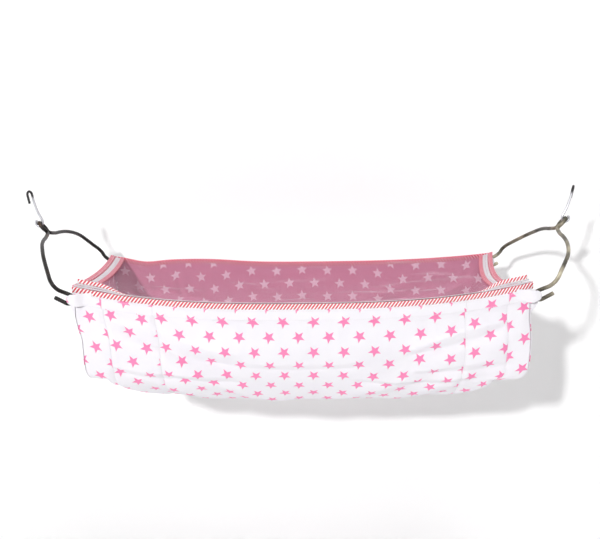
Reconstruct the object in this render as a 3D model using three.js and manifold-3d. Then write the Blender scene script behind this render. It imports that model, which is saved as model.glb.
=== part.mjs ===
// Hanging baby cradle: a printed cloth tub with a zip-on net cover, hung from two bent steel bails.
// Millimetres, +Z up, +X along the length, the front long side at -Y.
// The origin lies midway between the tops of the two hooks, where the cradle hangs.

import * as THREE from 'three';
import { mergeVertices } from 'three/addons/utils/BufferGeometryUtils.js';
import Module from 'manifold-3d';

// Tub, driving dimensions
const TUB_LENGTH = 892;
const TUB_WIDTH = 424;
const LEFT_END_DEPTH = 202;
const RIGHT_END_DEPTH = 218;
const MIDDLE_DEPTH = 242;
const FRONT_SAG = 38;
const BACK_SAG = 17;
const BACK_DIP = 7;
const BACK_HUMP = 6;
const END_DRAW_IN = 11;
const END_BULGE = 7;
const LEFT_END_SHIFT = -9;
const RIGHT_END_SHIFT = 6;
const END_BOW = { left: 8, right: 22 };
const END_SAG = { left: 6, right: 28 };
const FLAT_FLOOR = 130;
const STRAIGHT_DROP = 88;
const END_CORNER_RADIUS = 58;
const SLUMP_START = 26;
const SLUMP_DEPTH = 140;
const CLOTH = 2;
const LINING = 1.6;
const SEAM_GAP = 0.35;

// Rim, zip and net, driving dimensions
const BINDING_HEIGHT = 11;
const BINDING_THICKNESS = 5;
const RIM_OVERHANG = 5;
const TAPE_WIDTH = 5.2;
const FRONT_TAPE_WIDTH = 3;
const TAPE_THICKNESS = 1.4;
const ZIP_GAP = 1.6;
const NET_BINDING_WIDTH = 9;
const FRONT_NET_BINDING_WIDTH = 8;
const NET_BINDING_THICKNESS = 3.2;
const END_BINDING_THICKNESS = 3.6;
const STRIP_STEP_BACK = 4;
const NET_THICKNESS = 1;
const NET_SAG = 20;
const NET_BELOW_BINDING = 4;
const END_BAND_SLOPE = 16;
const STRIP_LEAN_AT_CORNER = 4;
const STRIP_LEAN_AT_MIDDLE = 112;
const STRIP_UPRIGHT_END = 20;
const STRIP_SETTLING = 95;

// Belts and loops, driving dimensions
const BELT_HEIGHT = 21;
const BELT_THICKNESS = 1.8;
const BELT_BELOW_BINDING = 1;
const LOOP_ROOT_HEIGHT = 48;
const LOOP_FLAP = 30;
const LOOP_CLOTH = 1.8;
const LOOP_BUNCH = 7;
const LOOP_REACH = { left: { front: 11, back: 8 }, right: { front: 17, back: 9 } };
const LOOP_ROUND_SHARE = 0.29;
const FOOT_GAP = 1.2;
const LOOP_FLARE = 8;
const LOOP_PEEL = 10;
const LOOP_PEEL_OUT = 0.6;

// Bails and hooks, driving dimensions
const ROD = 8;
const BAIL_LEAN = 40.5;
const SHOULDER_RISE = 131;
const NECK_RISE = 140;
const EYE_RISE = 166;
const EYE_INSIDE = 8;
const NECK_GAP = 1;
const FOOT_TIP = { front: 23, back: 7 };
const FOOT_OPENING = 22;
const FOOT_STRAIGHT = 4;
const LEG_JOG = 18;
const LEG_BOW = { left: -6, right: 6 };
const EYE_CLOSING = 30;
const WIRE = 5;
const HOOK_LENGTH = 62;
const HOOK_CURL = 8;
const HOOK_TIP = 16;
const HOOK_TURN = 70;
const HOOK_LEAN = 12;
const HOOK_CURL_START = 50;
const RUNNING_GAP = 0.5;

// Zip sliders, driving dimensions
const SLIDER_LENGTH = 10;
const SLIDER_WIDTH = 9;
const SLIDER_PLATE = 1.2;
const SLIDER_WEB = 0.8;
const SLIDER_GAP = 0.4;
const ARCH_LENGTH = 5;
const ARCH_STAND = 2.8;
const ARCH_BAR = 0.9;
const ARCH_WIDTH = 1.6;
const PULL_LENGTH = 15;
const PULL_WIDTH = 6;
const PULL_THICKNESS = 1;
const PULL_RING_RADIUS = 1.95;
const PULL_RING_WALL = 0.8;
const PULL_RING_WIDTH = 2.6;
const SLIDER_PARK = 8;

// Counts of facets
const LENGTH_BAYS = 29;
const SECTION_BAYS = 20;
const ACROSS_BAYS = 12;
const NET_BAYS = 12;
const BAIL_STEPS = 130;
const HOOK_STEPS = 44;
const FOOT_BENDS = 6;
const EYE_BENDS = 4;
const CURL_BENDS = 9;
const RING_SEGMENTS = 4;
const WELD = 1e-4;
const ROD_SIDES = 8;
const WIRE_SIDES = 6;

// Folds of the hanging cloth, as shares of the half length and of the cloth from rim to floor centre
const FOLD_HEIGHT = 7;
const FOLD_WIDTH = 30;
const FOLD_PATH_SHARES = [
  [0.93, 0.20, 0.42, 0.80],
  [0.80, 0.22, 0.12, 0.72],
  [0.96, 0.36, 0.62, 0.90],
];
const END_SHIFT_SHARES = [0.28, 0.55];
const FOLD_END_SHARE = 0.15;
const FOLD_START_SHARES = [0.13, 0.3];
const SAG_EXPONENT_SHARE = 2.8;
const DEPTH_EXPONENT_SHARE = 4;
const BACK_DIP_SHARES = [-0.83, 0.09];
const BACK_HUMP_SHARES = [-0.5, 0.2];
const LEG_BOW_EXPONENT_SHARE = 3;
const NET_PULL_EXPONENT_SHARE = 6;
const PANEL_EDGE_SHARE = 0.99;
const MIDDLE_TURN_SHARE = 0.417;
const NET_BACK_EDGE_SHARE = 0.33;
const SHANK_BEND_SHARE = 0.33;

const halfLength = TUB_LENGTH / 2;
const halfWidth = TUB_WIDTH / 2;
const wall = CLOTH + SEAM_GAP + LINING;
const bindingOuter = halfWidth + (BINDING_THICKNESS - wall) / 2;
const bindingInner = bindingOuter - BINDING_THICKNESS;
const { degToRad: radians, smoothstep, lerp, clamp } = THREE.MathUtils;
const ENDS = { left: -1, right: 1 };
const HALF_TURN = 180;

const wasm = await Module();
wasm.setup();

// Materials

const printedCloth = new THREE.MeshStandardMaterial({ color: 0xf3f1f8, roughness: 0.9, metalness: 0 });
const pinkLining = new THREE.MeshStandardMaterial({ color: 0xe58fb0, roughness: 0.9, metalness: 0 });
const stripedBinding = new THREE.MeshStandardMaterial({ color: 0xd9607a, roughness: 0.85, metalness: 0 });
const zipTape = new THREE.MeshStandardMaterial({ color: 0xe9e6ea, roughness: 0.8, metalness: 0 });
const netting = new THREE.MeshStandardMaterial({ color: 0xcfc3d8, roughness: 0.8, metalness: 0 });
const bronzedSteel = new THREE.MeshStandardMaterial({ color: 0x5a4a34, roughness: 0.4, metalness: 0.9 });
const plainSteel = new THREE.MeshStandardMaterial({ color: 0x9a9a9c, roughness: 0.35, metalness: 0.95 });
const sliderMetal = new THREE.MeshStandardMaterial({ color: 0xb8b6b4, roughness: 0.4, metalness: 0.9 });

// Geometry helpers

/** A solid through a list of rings, each out along one face and back along the other, with flat ends. */
function loft(rings) {
  const count = rings[0].length;
  const positions = [];
  const triangle = (a, b, c) => positions.push(...a.toArray(), ...b.toArray(), ...c.toArray());
  for (let i = 0; i + 1 < rings.length; i += 1) {
    for (let j = 0; j < count; j += 1) {
      const next = (j + 1) % count;
      const [a, b, c, d] = [rings[i][j], rings[i][next], rings[i + 1][next], rings[i + 1][j]];
      if (j < count / 2) {
        triangle(a, b, c);
        triangle(a, c, d);
      } else {
        triangle(a, b, d);
        triangle(b, c, d);
      }
    }
  }
  capStrip(rings[0], triangle, false);
  capStrip(rings[rings.length - 1], triangle, true);
  return outward(positions);
}

/** Closes a ring whose second half runs back beside its first half. */
function capStrip(ring, triangle, forwards) {
  const last = ring.length - 1;
  for (let j = 0; j < ring.length / 2 - 1; j += 1) {
    const [a, b, c, d] = [ring[j], ring[j + 1], ring[last - j - 1], ring[last - j]];
    if (forwards) {
      triangle(a, b, c);
      triangle(a, c, d);
    } else {
      triangle(a, c, b);
      triangle(a, d, c);
    }
  }
}

/** A sheet with thickness: two grids of points, rows by columns, joined around their edges. */
function slab(front, back) {
  const rings = front.map((row, i) => [...row, ...[...back[i]].reverse()]);
  return loft(rings);
}

/** A BufferGeometry of loose triangles, turned to face out. */
function outward(positions) {
  let volume = 0;
  for (let k = 0; k < positions.length; k += 9) {
    const [ax, ay, az, bx, by, bz, cx, cy, cz] = positions.slice(k, k + 9);
    volume += ax * (by * cz - bz * cy) + ay * (bz * cx - bx * cz) + az * (bx * cy - by * cx);
  }
  if (volume < 0) {
    for (let k = 0; k < positions.length; k += 9) {
      for (let axis = 0; axis < 3; axis += 1) {
        const kept = positions[k + 3 + axis];
        positions[k + 3 + axis] = positions[k + 6 + axis];
        positions[k + 6 + axis] = kept;
      }
    }
  }
  const geometry = new THREE.BufferGeometry();
  geometry.setAttribute('position', new THREE.Float32BufferAttribute(positions, 3));
  return geometry;
}

/** A geometry as a manifold solid. */
function toSolid(geometry) {
  const bare = geometry.clone();
  bare.deleteAttribute('normal');
  bare.deleteAttribute('uv');
  const merged = mergeVertices(bare, WELD);
  return new wasm.Manifold(new wasm.Mesh({
    numProp: 3,
    vertProperties: new Float32Array(merged.attributes.position.array),
    triVerts: new Uint32Array(merged.index.array),
  }));
}

/** A manifold solid as a geometry. */
function toGeometry(solid) {
  const mesh = solid.getMesh();
  const geometry = new THREE.BufferGeometry();
  geometry.setAttribute('position', new THREE.BufferAttribute(mesh.vertProperties, 3));
  geometry.setIndex(new THREE.BufferAttribute(mesh.triVerts, 1));
  return geometry;
}

/** One solid of several overlapping geometries. */
function joined(...geometries) {
  return toGeometry(geometries.map(toSolid).reduce((whole, piece) => whole.add(piece)));
}

/** A round bar along a curve. */
function bar(curve, diameter, sides, steps) {
  const section = new THREE.Shape();
  for (let k = 0; k < sides; k += 1) {
    const angle = (2 * Math.PI * k) / sides;
    const point = [(diameter / 2) * Math.cos(angle), (diameter / 2) * Math.sin(angle)];
    if (k === 0) section.moveTo(...point);
    else section.lineTo(...point);
  }
  section.closePath();
  return new THREE.ExtrudeGeometry(section, { extrudePath: curve, steps, bevelEnabled: false });
}

/** An arc of points in the plane of two directions. */
function arc(centre, radius, across, up, from, to, count) {
  const points = [];
  for (let k = 0; k <= count; k += 1) {
    const angle = radians(from + ((to - from) * k) / count);
    points.push(centre.clone()
      .addScaledVector(across, radius * Math.cos(angle))
      .addScaledVector(up, radius * Math.sin(angle)));
  }
  return points;
}

/** Evenly spaced values from one to another, both included. */
const spread = (from, to, bays) => {
  return Array.from({ length: bays + 1 }, (_, k) => from + ((to - from) * k) / bays);
};
const vector = (x, y, z) => new THREE.Vector3(x, y, z);

// The tub's form

/** How far a place along the length has left the boxy ends for the slack middle, 0 to 1. */
const slack = (share) => 1 - Math.abs(share) ** SAG_EXPONENT_SHARE;

/** A bell curve along the length: a share of 1 at a place, fading over a width. */
const bell = (share, [place, width]) => Math.exp(-(((share - place) / width) ** 2));

/** Height of the rim at a share of the half length, on the front (-1) or back (1) side. */
function rimHeight(share, side) {
  if (side < 0) return -FRONT_SAG * slack(share);
  const wave = BACK_HUMP * bell(share, BACK_HUMP_SHARES) - BACK_DIP * bell(share, BACK_DIP_SHARES);
  return -BACK_SAG * slack(share) + wave;
}

/** How much of an end's bow and sag reaches a place across the tub and a height below the rim, 0 to 1. */
function slump(y, z) {
  const across = Math.max(0, 1 - (y / bindingInner) ** 2);
  return across * smoothstep(z, -SLUMP_DEPTH, -SLUMP_START);
}

/** A point of an end after the end's upper edge has bowed inward and sagged, by a share of the slump. */
function slumped(end, point, share = 1) {
  const side = end < 0 ? 'left' : 'right';
  const amount = share * slump(point.y, point.z);
  return vector(point.x - end * END_BOW[side] * amount, point.y, point.z - END_SAG[side] * amount);
}

/** Half sections at an end and at the middle: down from the rim, round, then flat to the centre. */
function halfSection(depth, drop, turnPull, floorPull) {
  const path = new THREE.Path();
  path.moveTo(halfWidth, 0);
  path.lineTo(halfWidth, -drop);
  path.bezierCurveTo(halfWidth, -drop - turnPull, FLAT_FLOOR / 2 + floorPull, -depth, FLAT_FLOOR / 2, -depth);
  path.lineTo(0, -depth);
  return path.getSpacedPoints(SECTION_BAYS / 2);
}

/** The half section at an end: straight sides with a rounded lower corner. */
function endHalfSection(depth) {
  const floorPull = halfWidth - FLAT_FLOOR / 2 - END_CORNER_RADIUS / 2;
  return halfSection(depth, depth - END_CORNER_RADIUS, END_CORNER_RADIUS, floorPull);
}

const endSections = { left: endHalfSection(LEFT_END_DEPTH), right: endHalfSection(RIGHT_END_DEPTH) };
const middleTurn = (MIDDLE_DEPTH - STRAIGHT_DROP) * MIDDLE_TURN_SHARE;
const middleSection = halfSection(MIDDLE_DEPTH, STRAIGHT_DROP, middleTurn, middleTurn);

/** The length of tub at a height below the rim and a place across: drawn in below, bulged out between. */
function endAt(end, y, z) {
  const down = Math.max(0, -z / (end < 0 ? LEFT_END_DEPTH : RIGHT_END_DEPTH));
  const bulge = END_BULGE * Math.sin(Math.PI * Math.min(down, 1)) * Math.max(0, 1 - (y / halfWidth) ** 2);
  const furthest = end < 0 ? LEFT_END_SHIFT : RIGHT_END_SHIFT;
  const shift = furthest * smoothstep(down, ...END_SHIFT_SHARES);
  return halfLength - END_DRAW_IN * down ** 2 + bulge + shift;
}

/** Height of the folds on the cloth at a share of the half length and a share of the way to the floor. */
function foldHeight(share, downShare) {
  let height = 0;
  for (const [fromLong, fromDown, toLong, toDown] of FOLD_PATH_SHARES) {
    const drop = 2 * MIDDLE_DEPTH;
    const run = vector((toLong - fromLong) * halfLength, (toDown - fromDown) * drop, 0);
    const place = vector((Math.abs(share) - fromLong) * halfLength, (downShare - fromDown) * drop, 0);
    const along = clamp(place.dot(run) / run.lengthSq(), 0, 1);
    const away = place.addScaledVector(run, -along).length();
    height += FOLD_HEIGHT * Math.sin(Math.PI * (FOLD_END_SHARE + (1 - 2 * FOLD_END_SHARE) * along))
      * Math.exp(-((away / FOLD_WIDTH) ** 2));
  }
  return height * smoothstep(downShare, ...FOLD_START_SHARES);
}

/** The run of a section from the front rim round to the back rim, set in from the outer face by a depth. */
function sectionRun(share, inset) {
  const mix = 1 - Math.abs(share) ** DEPTH_EXPONENT_SHARE;
  const endSection = share < 0 ? endSections.left : endSections.right;
  const run = [];
  for (const side of [-1, 1]) {
    const half = endSection.map((end, k) => {
      const middle = middleSection[k];
      const y = end.x + (middle.x - end.x) * mix;
      const z = end.y + (middle.y - end.y) * mix;
      const meeting = (rimHeight(share, -side) - rimHeight(share, side)) / 2;
      const stillUp = 1 - k / (endSection.length - 1);
      const level = rimHeight(share, side) + meeting * (1 - stillUp ** 2);
      return vector(0, side * y, z + level - (k === 0 ? BINDING_HEIGHT : 0));
    });
    run.push(...(side < 0 ? half.slice(0, -1) : half.reverse()));
  }
  const set = run.map((point, k) => {
    const before = run[Math.max(k - 1, 0)];
    const after = run[Math.min(k + 1, run.length - 1)];
    const normal = vector(0, after.z - before.z, before.y - after.y).normalize();
    const downShare = 1 - Math.abs((2 * k) / (run.length - 1) - 1);
    const rise = foldHeight(share, downShare);
    return point.clone().addScaledVector(normal, rise - inset);
  });
  for (const edge of [0, set.length - 1]) {
    set[edge].z = run[edge].z;
  }
  return set;
}

/** One length of cloth along the tub, between two depths below the outer face. */
function tubLength(outerInset, innerInset) {
  const rings = spread(-1, 1, LENGTH_BAYS).map((share) => {
    const place = (point) => vector(share * endAt(Math.sign(share), point.y, point.z), point.y, point.z);
    const outer = sectionRun(share, outerInset).map(place);
    const inner = sectionRun(share, innerInset).map(place);
    return [...outer, ...inner.reverse()];
  });
  return loft(rings);
}

/** Height of the underside of the sloping end band above a place along the length. */
const bandSeat = (x) => -(halfLength + RIM_OVERHANG - x) * Math.tan(radians(END_BAND_SLOPE)) - SEAM_GAP;

/** The edge of an end panel down its front side, narrowed at the top to pass between the rim bindings. */
function endPanelEdge(end, edgeInset, seat) {
  const run = sectionRun(end, edgeInset);
  const half = run.slice(0, (run.length - 1) / 2);
  const neck = Math.min(-half[0].y, bindingInner - SEAM_GAP);
  const rows = [
    vector(0, -neck, seat),
    vector(0, -neck, -BINDING_HEIGHT - SEAM_GAP),
    vector(0, half[0].y, -BINDING_HEIGHT - CLOTH),
    ...half.slice(1),
  ];
  return rows;
}

/** An end panel of cloth whose edge follows the section, between two depths from the end of the tub. */
function endPanel(end, edgeInset, nearDepth, farDepth) {
  const rows = endPanelEdge(end, edgeInset, bandSeat(halfLength + nearDepth));
  const places = (edge) => {
    const inner = Math.min(edge, bindingInner) * PANEL_EDGE_SHARE;
    return [-edge, ...spread(-inner, inner, ACROSS_BAYS), edge];
  };
  const face = (depth) => rows.map((front) => places(-front.y).map((y) => {
    return slumped(end, vector(end * (endAt(end, y, front.z) + depth), y, front.z));
  }));
  return slab(face(nearDepth), face(farDepth));
}

// The rim, the zips and the net

/** A strip along the front or back, as far as a reach each way, bent where the tub's cloth is. */
function longStrip(reach, section) {
  const bends = spread(-halfLength, halfLength, LENGTH_BAYS).filter((x) => Math.abs(x) < reach - SEAM_GAP);
  const rings = [-reach, ...bends, reach].map((x) => section(x).map(([y, z]) => vector(x, y, z)));
  return loft(rings);
}

const shareAt = (x) => clamp(x / halfLength, -1, 1);

/** The rim binding of a long side: a folded band standing on the cloth's top edge. */
function longRimBinding(side) {
  const outer = side * bindingOuter;
  const inner = side * bindingInner;
  const reach = halfLength + RIM_OVERHANG;
  return longStrip(reach, (x) => {
    const top = rimHeight(shareAt(x), side);
    const foot = top - BINDING_HEIGHT + SEAM_GAP;
    return [[outer, foot], [outer, top], [inner, top], [inner, foot]];
  });
}

/** How far the front zip strips lean inward at a place along the front, in degrees from upright. */
function stripLean(x) {
  const fromUpright = halfLength - STRIP_UPRIGHT_END - Math.abs(x);
  const settled = smoothstep(fromUpright, 0, STRIP_SETTLING);
  return lerp(STRIP_LEAN_AT_CORNER, STRIP_LEAN_AT_MIDDLE, settled);
}

/** The four corners of a front strip between two distances from the binding's top. */
function frontStripSection(x, from, to, thickness) {
  const lean = radians(stripLean(x));
  const along = [Math.sin(lean), Math.cos(lean)];
  const through = [-Math.cos(lean), Math.sin(lean)];
  const baseY = -halfWidth + wall / 2;
  const dip = Math.max(0, -along[1]) * BINDING_THICKNESS;
  const baseZ = rimHeight(shareAt(x), -1) + SEAM_GAP + (along[0] * TAPE_THICKNESS) / 2 + dip;
  const corner = (far, out) => [
    baseY + far * along[0] + out * through[0],
    baseZ + far * along[1] + out * through[1],
  ];
  const half = thickness / 2;
  return [corner(from, half), corner(to, half), corner(to, -half), corner(from, -half)];
}

const frontTapeStart = SEAM_GAP + TAPE_THICKNESS / 2;
const frontNetTape = frontTapeStart + FRONT_TAPE_WIDTH + ZIP_GAP;
const frontNetBinding = frontNetTape + FRONT_TAPE_WIDTH + 2 * SEAM_GAP;

/** A front strip of the zip or the net's edge, from a distance along the lean and as wide as given. */
function frontStrip(reach, from, width, thickness) {
  return longStrip(reach, (x) => frontStripSection(x, from, from + width, thickness));
}

/** A place on an end's sloping band: across the tub, in from the rim's outer edge and off the band. */
function endBandPoint(end, y, far, lift) {
  const slope = radians(END_BAND_SLOPE);
  const x = halfLength + RIM_OVERHANG - far * Math.cos(slope) + lift * Math.sin(slope);
  return slumped(end, vector(end * x, y, -far * Math.sin(slope) + lift * Math.cos(slope)));
}

const bandPlaces = spread(-bindingInner + SEAM_GAP, bindingInner - SEAM_GAP, ACROSS_BAYS);

/** A strip along an end, between two distances in from the rim's outer edge, trimmed at the front. */
function endStrip(end, from, to, thickness, frontTrim = 0) {
  const corners = [[from, 0], [from, thickness], [to, thickness], [to, 0]];
  const places = [bandPlaces[0] + frontTrim, ...bandPlaces.slice(1)];
  return loft(places.map((y) => corners.map(([far, lift]) => endBandPoint(end, y, far, lift))));
}

const endZipStart = BINDING_HEIGHT + SEAM_GAP;
const endZipMiddle = endZipStart + TAPE_WIDTH + ZIP_GAP / 2;
const endNetTape = endZipMiddle + ZIP_GAP / 2;
const endNetBinding = endNetTape + TAPE_WIDTH + SEAM_GAP;
const endBandWidth = endNetBinding + NET_BINDING_WIDTH;
const endBandX = halfLength + RIM_OVERHANG - endBandWidth * Math.cos(radians(END_BAND_SLOPE));
const endBandZ = -endBandWidth * Math.sin(radians(END_BAND_SLOPE));

/** The front edge of the net: behind the strips at the corners, under their inner edge elsewhere. */
function netFrontEdge(x) {
  const settled = smoothstep(stripLean(x), STRIP_LEAN_AT_CORNER, STRIP_LEAN_AT_MIDDLE);
  const far = lerp(TAPE_WIDTH, frontNetBinding + FRONT_NET_BINDING_WIDTH, settled);
  const below = NET_BINDING_THICKNESS + NET_BELOW_BINDING;
  const [, , , edge] = frontStripSection(x, far, far, below);
  return edge;
}

const netBackY = bindingInner - SEAM_GAP;
const frontTapeReach = halfLength + RIM_OVERHANG - STRIP_STEP_BACK;
const netTapeReach = frontTapeReach - STRIP_STEP_BACK;
const netBindingReach = netTapeReach - STRIP_STEP_BACK;

/** Height of the net's back edge, a little below the top of the back binding. */
const netBackHeight = (x) => rimHeight(shareAt(x), 1) - BINDING_HEIGHT * NET_BACK_EDGE_SHARE;

/** Height of the net's middle surface over the opening. */
function netHeight(x, across) {
  const share = x / (endBandX - SEAM_GAP);
  const [, frontZ] = netFrontEdge(x);
  const edge = lerp(frontZ, netBackHeight(x), across);
  const [, cornerFrontZ] = netFrontEdge(endBandX);
  const endLine = lerp(cornerFrontZ, netBackHeight(endBandX), across);
  const nearEnd = Math.abs(share) ** NET_PULL_EXPONENT_SHARE;
  const pull = (endBandZ - endLine) * Math.sin(Math.PI * across) * nearEnd;
  const sag = NET_SAG * Math.sin(Math.PI * across) * slack(share);
  return edge + pull - sag;
}

/** The net over the opening, a thin sagging sheet. */
function netPanel() {
  const columns = spread(-endBandX + SEAM_GAP, endBandX - SEAM_GAP, LENGTH_BAYS);
  const face = (lift) => columns.map((x) => spread(0, 1, NET_BAYS).map((across) => {
    const [frontY] = netFrontEdge(x);
    const point = vector(x, lerp(frontY, netBackY, across), netHeight(x, across) + lift);
    return slumped(Math.sign(x), point, Math.abs(x / (endBandX - SEAM_GAP)) ** NET_PULL_EXPONENT_SHARE);
  }));
  return slab(face(NET_THICKNESS / 2), face(-NET_THICKNESS / 2));
}

// Belts with their loops

const beltTop = -BINDING_HEIGHT - BELT_BELOW_BINDING;
const beltMiddle = beltTop - BELT_HEIGHT / 2;
const beltFace = halfWidth + SEAM_GAP;
const footY = halfWidth + LOOP_FLARE;
const footZ = beltMiddle;
const footRadius = LOOP_BUNCH / 2 + FOOT_GAP + ROD / 2;

/** The middle of a loop's bunched tip, where a bail's foot turns, at the height of the tub's origin. */
function loopTip(end, side) {
  const reach = LOOP_REACH[end < 0 ? 'left' : 'right'][side < 0 ? 'front' : 'back'];
  return vector(end * (halfLength + reach), side * footY, 0);
}

/** The loop that a bail's foot hangs in: an upright band of cloth, bunched where the rod holds it. */
function beltLoop(end, side) {
  const root = vector(end * (halfLength + SEAM_GAP), side * (beltFace + BELT_THICKNESS / 2), 0);
  const tip = loopTip(end, side);
  const spacing = ROD / 2 + RUNNING_GAP + LOOP_CLOTH / 2;
  const wallSpacing = spacing + LOOP_BUNCH / 4;
  const place = (outward, aside) => tip.clone().add(vector(end * outward, side * aside, 0));
  const shoulder = -LOOP_BUNCH / 2;
  const heel = -footRadius - ROD / 2 - LOOP_CLOTH;
  const shoulderHeight = BELT_HEIGHT - LOOP_BUNCH;
  const bendHeight = LOOP_BUNCH + LOOP_CLOTH;
  const peelY = root.y + side * (BELT_THICKNESS / 2 + LOOP_PEEL_OUT);
  const peel = place(heel - LOOP_PEEL, 0).setY(peelY);
  const stations = [
    { at: peel, high: BELT_HEIGHT, thick: LOOP_CLOTH },
    { at: place(heel, wallSpacing), high: BELT_HEIGHT, thick: LOOP_CLOTH },
    { at: place(shoulder, wallSpacing), high: shoulderHeight, thick: LOOP_CLOTH },
    { at: place(0, spacing), high: bendHeight, thick: LOOP_BUNCH / 2 },
    { at: tip, high: LOOP_BUNCH, thick: LOOP_BUNCH },
    { at: place(0, -spacing), high: bendHeight, thick: LOOP_BUNCH / 2 },
    { at: place(shoulder, -wallSpacing), high: LOOP_FLAP, thick: LOOP_CLOTH },
    { at: root, high: LOOP_ROOT_HEIGHT, thick: LOOP_CLOTH },
  ];
  const rings = stations.map(({ at, high, thick }, k) => {
    const before = stations[Math.max(k - 1, 0)].at;
    const after = stations[Math.min(k + 1, stations.length - 1)].at;
    const run = after.clone().sub(before).normalize();
    const across = vector(-run.y, run.x, 0).multiplyScalar(thick / 2);
    const top = footZ + Math.min(high, BELT_HEIGHT) / 2;
    const foot = top - high;
    const round = thick * LOOP_ROUND_SHARE;
    const corner = (sign, z) => at.clone().addScaledVector(across, sign).setZ(z);
    const narrow = 1 - 2 * LOOP_ROUND_SHARE;
    return [
      corner(1, foot + round), corner(1, top - round), corner(narrow, top), corner(-narrow, top),
      corner(-1, top - round), corner(-1, foot + round), corner(-narrow, foot), corner(narrow, foot),
    ];
  });
  return loft(rings);
}

/** A belt along a long side of the tub, with a loop past each end. */
function beltBand(side) {
  const outer = side * (beltFace + BELT_THICKNESS);
  const inner = side * beltFace;
  const reach = halfLength + BELT_THICKNESS;
  const strap = longStrip(reach, (x) => {
    const top = rimHeight(shareAt(x), side) + beltTop;
    const foot = top - BELT_HEIGHT;
    return [[outer, foot], [outer, top], [inner, top], [inner, foot]];
  });
  return joined(strap, beltLoop(-1, side), beltLoop(1, side));
}

// Bails and hooks, drawn upright at the origin of their hinge line, then leaned out

const LEG_OUTLINE_SHARES = [
  [1.035, 0.20],
  [1.06, 0.29],
  [1.035, 0.38],
  [0.97, 0.47],
  [0.875, 0.60],
  [0.76, 0.74],
  [0.635, 0.84],
  [0.49, 0.92],
  [0.33, 0.97],
  [0.17, 1.0],
];
const neckHalf = (ROD + NECK_GAP) / 2;
const eyeHalf = (ROD + EYE_INSIDE) / 2;
const outAxis = vector(1, 0, 0);
const sideAxis = vector(0, 1, 0);
const upAxis = vector(0, 0, 1);

/** Half of a bail's centre line: the hooked foot, the leg over its middle, and one side of the eye. */
function bailHalf(side, tipLength, bow) {
  const foot = vector(0, side * footY, 0);
  const turn = arc(foot, footRadius, outAxis, upAxis, -FOOT_OPENING, -HALF_TURN, FOOT_BENDS);
  const tipRun = vector(Math.sin(radians(FOOT_OPENING)), 0, Math.cos(radians(FOOT_OPENING)));
  const tip = turn[0].clone().addScaledVector(tipRun, tipLength);
  const halfTip = turn[0].clone().addScaledVector(tipRun, tipLength / 2);
  const leg = LEG_OUTLINE_SHARES.map(([span, rise]) => {
    const out = bow * Math.sin(Math.PI * rise ** LEG_BOW_EXPONENT_SHARE);
    return vector(out, side * span * footY, rise * SHOULDER_RISE);
  });
  const eyeFoot = EYE_RISE - eyeHalf;
  return [
    tip,
    halfTip,
    ...turn,
    vector(-footRadius, side * footY, FOOT_STRAIGHT),
    vector(-footRadius / 2, side * footY, FOOT_STRAIGHT + LEG_JOG / 2),
    ...leg,
    vector(0, side * neckHalf, NECK_RISE),
    vector(0, side * eyeHalf, (NECK_RISE + eyeFoot) / 2 + NECK_GAP),
    vector(0, side * eyeHalf, eyeFoot),
  ];
}

/** The whole bail as one bent rod, the longer foot tip to the front of the tub. */
function bailRod(side, end) {
  const eyeCentre = vector(0, 0, EYE_RISE - eyeHalf);
  const crown = arc(eyeCentre, eyeHalf, sideAxis, upAxis, HALF_TURN - EYE_CLOSING, EYE_CLOSING, EYE_BENDS);
  const [low, high] = end < 0 ? [FOOT_TIP.back, FOOT_TIP.front] : [FOOT_TIP.front, FOOT_TIP.back];
  const bow = LEG_BOW[side];
  const line = [...bailHalf(-1, low, bow), ...crown, ...bailHalf(1, high, bow).reverse()];
  const curve = new THREE.CatmullRomCurve3(line, false, 'centripetal');
  return bar(curve, ROD, ROD_SIDES, BAIL_STEPS);
}

const curlRadius = ROD / 2 + WIRE / 2 + RUNNING_GAP * 2;

/** A hook of thin wire: a curl round the eye's crown, a shank, and a long curl turned aside. */
function hookWire() {
  const lower = arc(vector(0, 0, 0), curlRadius, outAxis, upAxis, HOOK_CURL_START, -HALF_TURN, CURL_BENDS);
  const shankTop = HOOK_LENGTH - HOOK_TIP;
  const shank = [
    vector(-curlRadius, 0, curlRadius / 2),
    vector(-curlRadius * SHANK_BEND_SHARE, 0, shankTop / 2),
    vector(0, 0, shankTop),
  ];
  const turn = radians(HOOK_TURN);
  const across = vector(Math.cos(turn), Math.sin(turn), 0);
  const curlCentre = across.clone().multiplyScalar(HOOK_CURL).setZ(HOOK_LENGTH);
  const upper = arc(curlCentre, HOOK_CURL, across, upAxis, HALF_TURN, 0, FOOT_BENDS);
  const tip = upper[upper.length - 1].clone().setZ(HOOK_LENGTH - HOOK_TIP);
  const curve = new THREE.CatmullRomCurve3([...lower, ...shank, ...upper, tip], false, 'centripetal');
  return bar(curve, WIRE, WIRE_SIDES, HOOK_STEPS);
}

// Zip sliders and their pulls, drawn at the middle of the zip, length along Y, top at +Z

const slideFace = TAPE_THICKNESS / 2 + SLIDER_GAP;
const sliderTop = slideFace + SLIDER_PLATE;
const archBarOut = ARCH_STAND - ARCH_BAR / 2;

/** The arch on a slider's top plate: a U seen from the end of the band, its bar across the zip. */
function sliderArch() {
  const half = ARCH_LENGTH / 2;
  const sunk = -SLIDER_PLATE / 2;
  const outline = new THREE.Shape();
  outline.moveTo(-half, sunk);
  outline.lineTo(-half, ARCH_STAND);
  outline.lineTo(half, ARCH_STAND);
  outline.lineTo(half, sunk);
  outline.lineTo(half - ARCH_BAR, sunk);
  outline.lineTo(half - ARCH_BAR, ARCH_STAND - ARCH_BAR);
  outline.lineTo(-half + ARCH_BAR, ARCH_STAND - ARCH_BAR);
  outline.lineTo(-half + ARCH_BAR, sunk);
  outline.closePath();
  const geometry = new THREE.ExtrudeGeometry(outline, { depth: ARCH_WIDTH, bevelEnabled: false });
  return geometry.rotateX(Math.PI / 2).translate(0, ARCH_WIDTH / 2, sliderTop);
}

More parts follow.
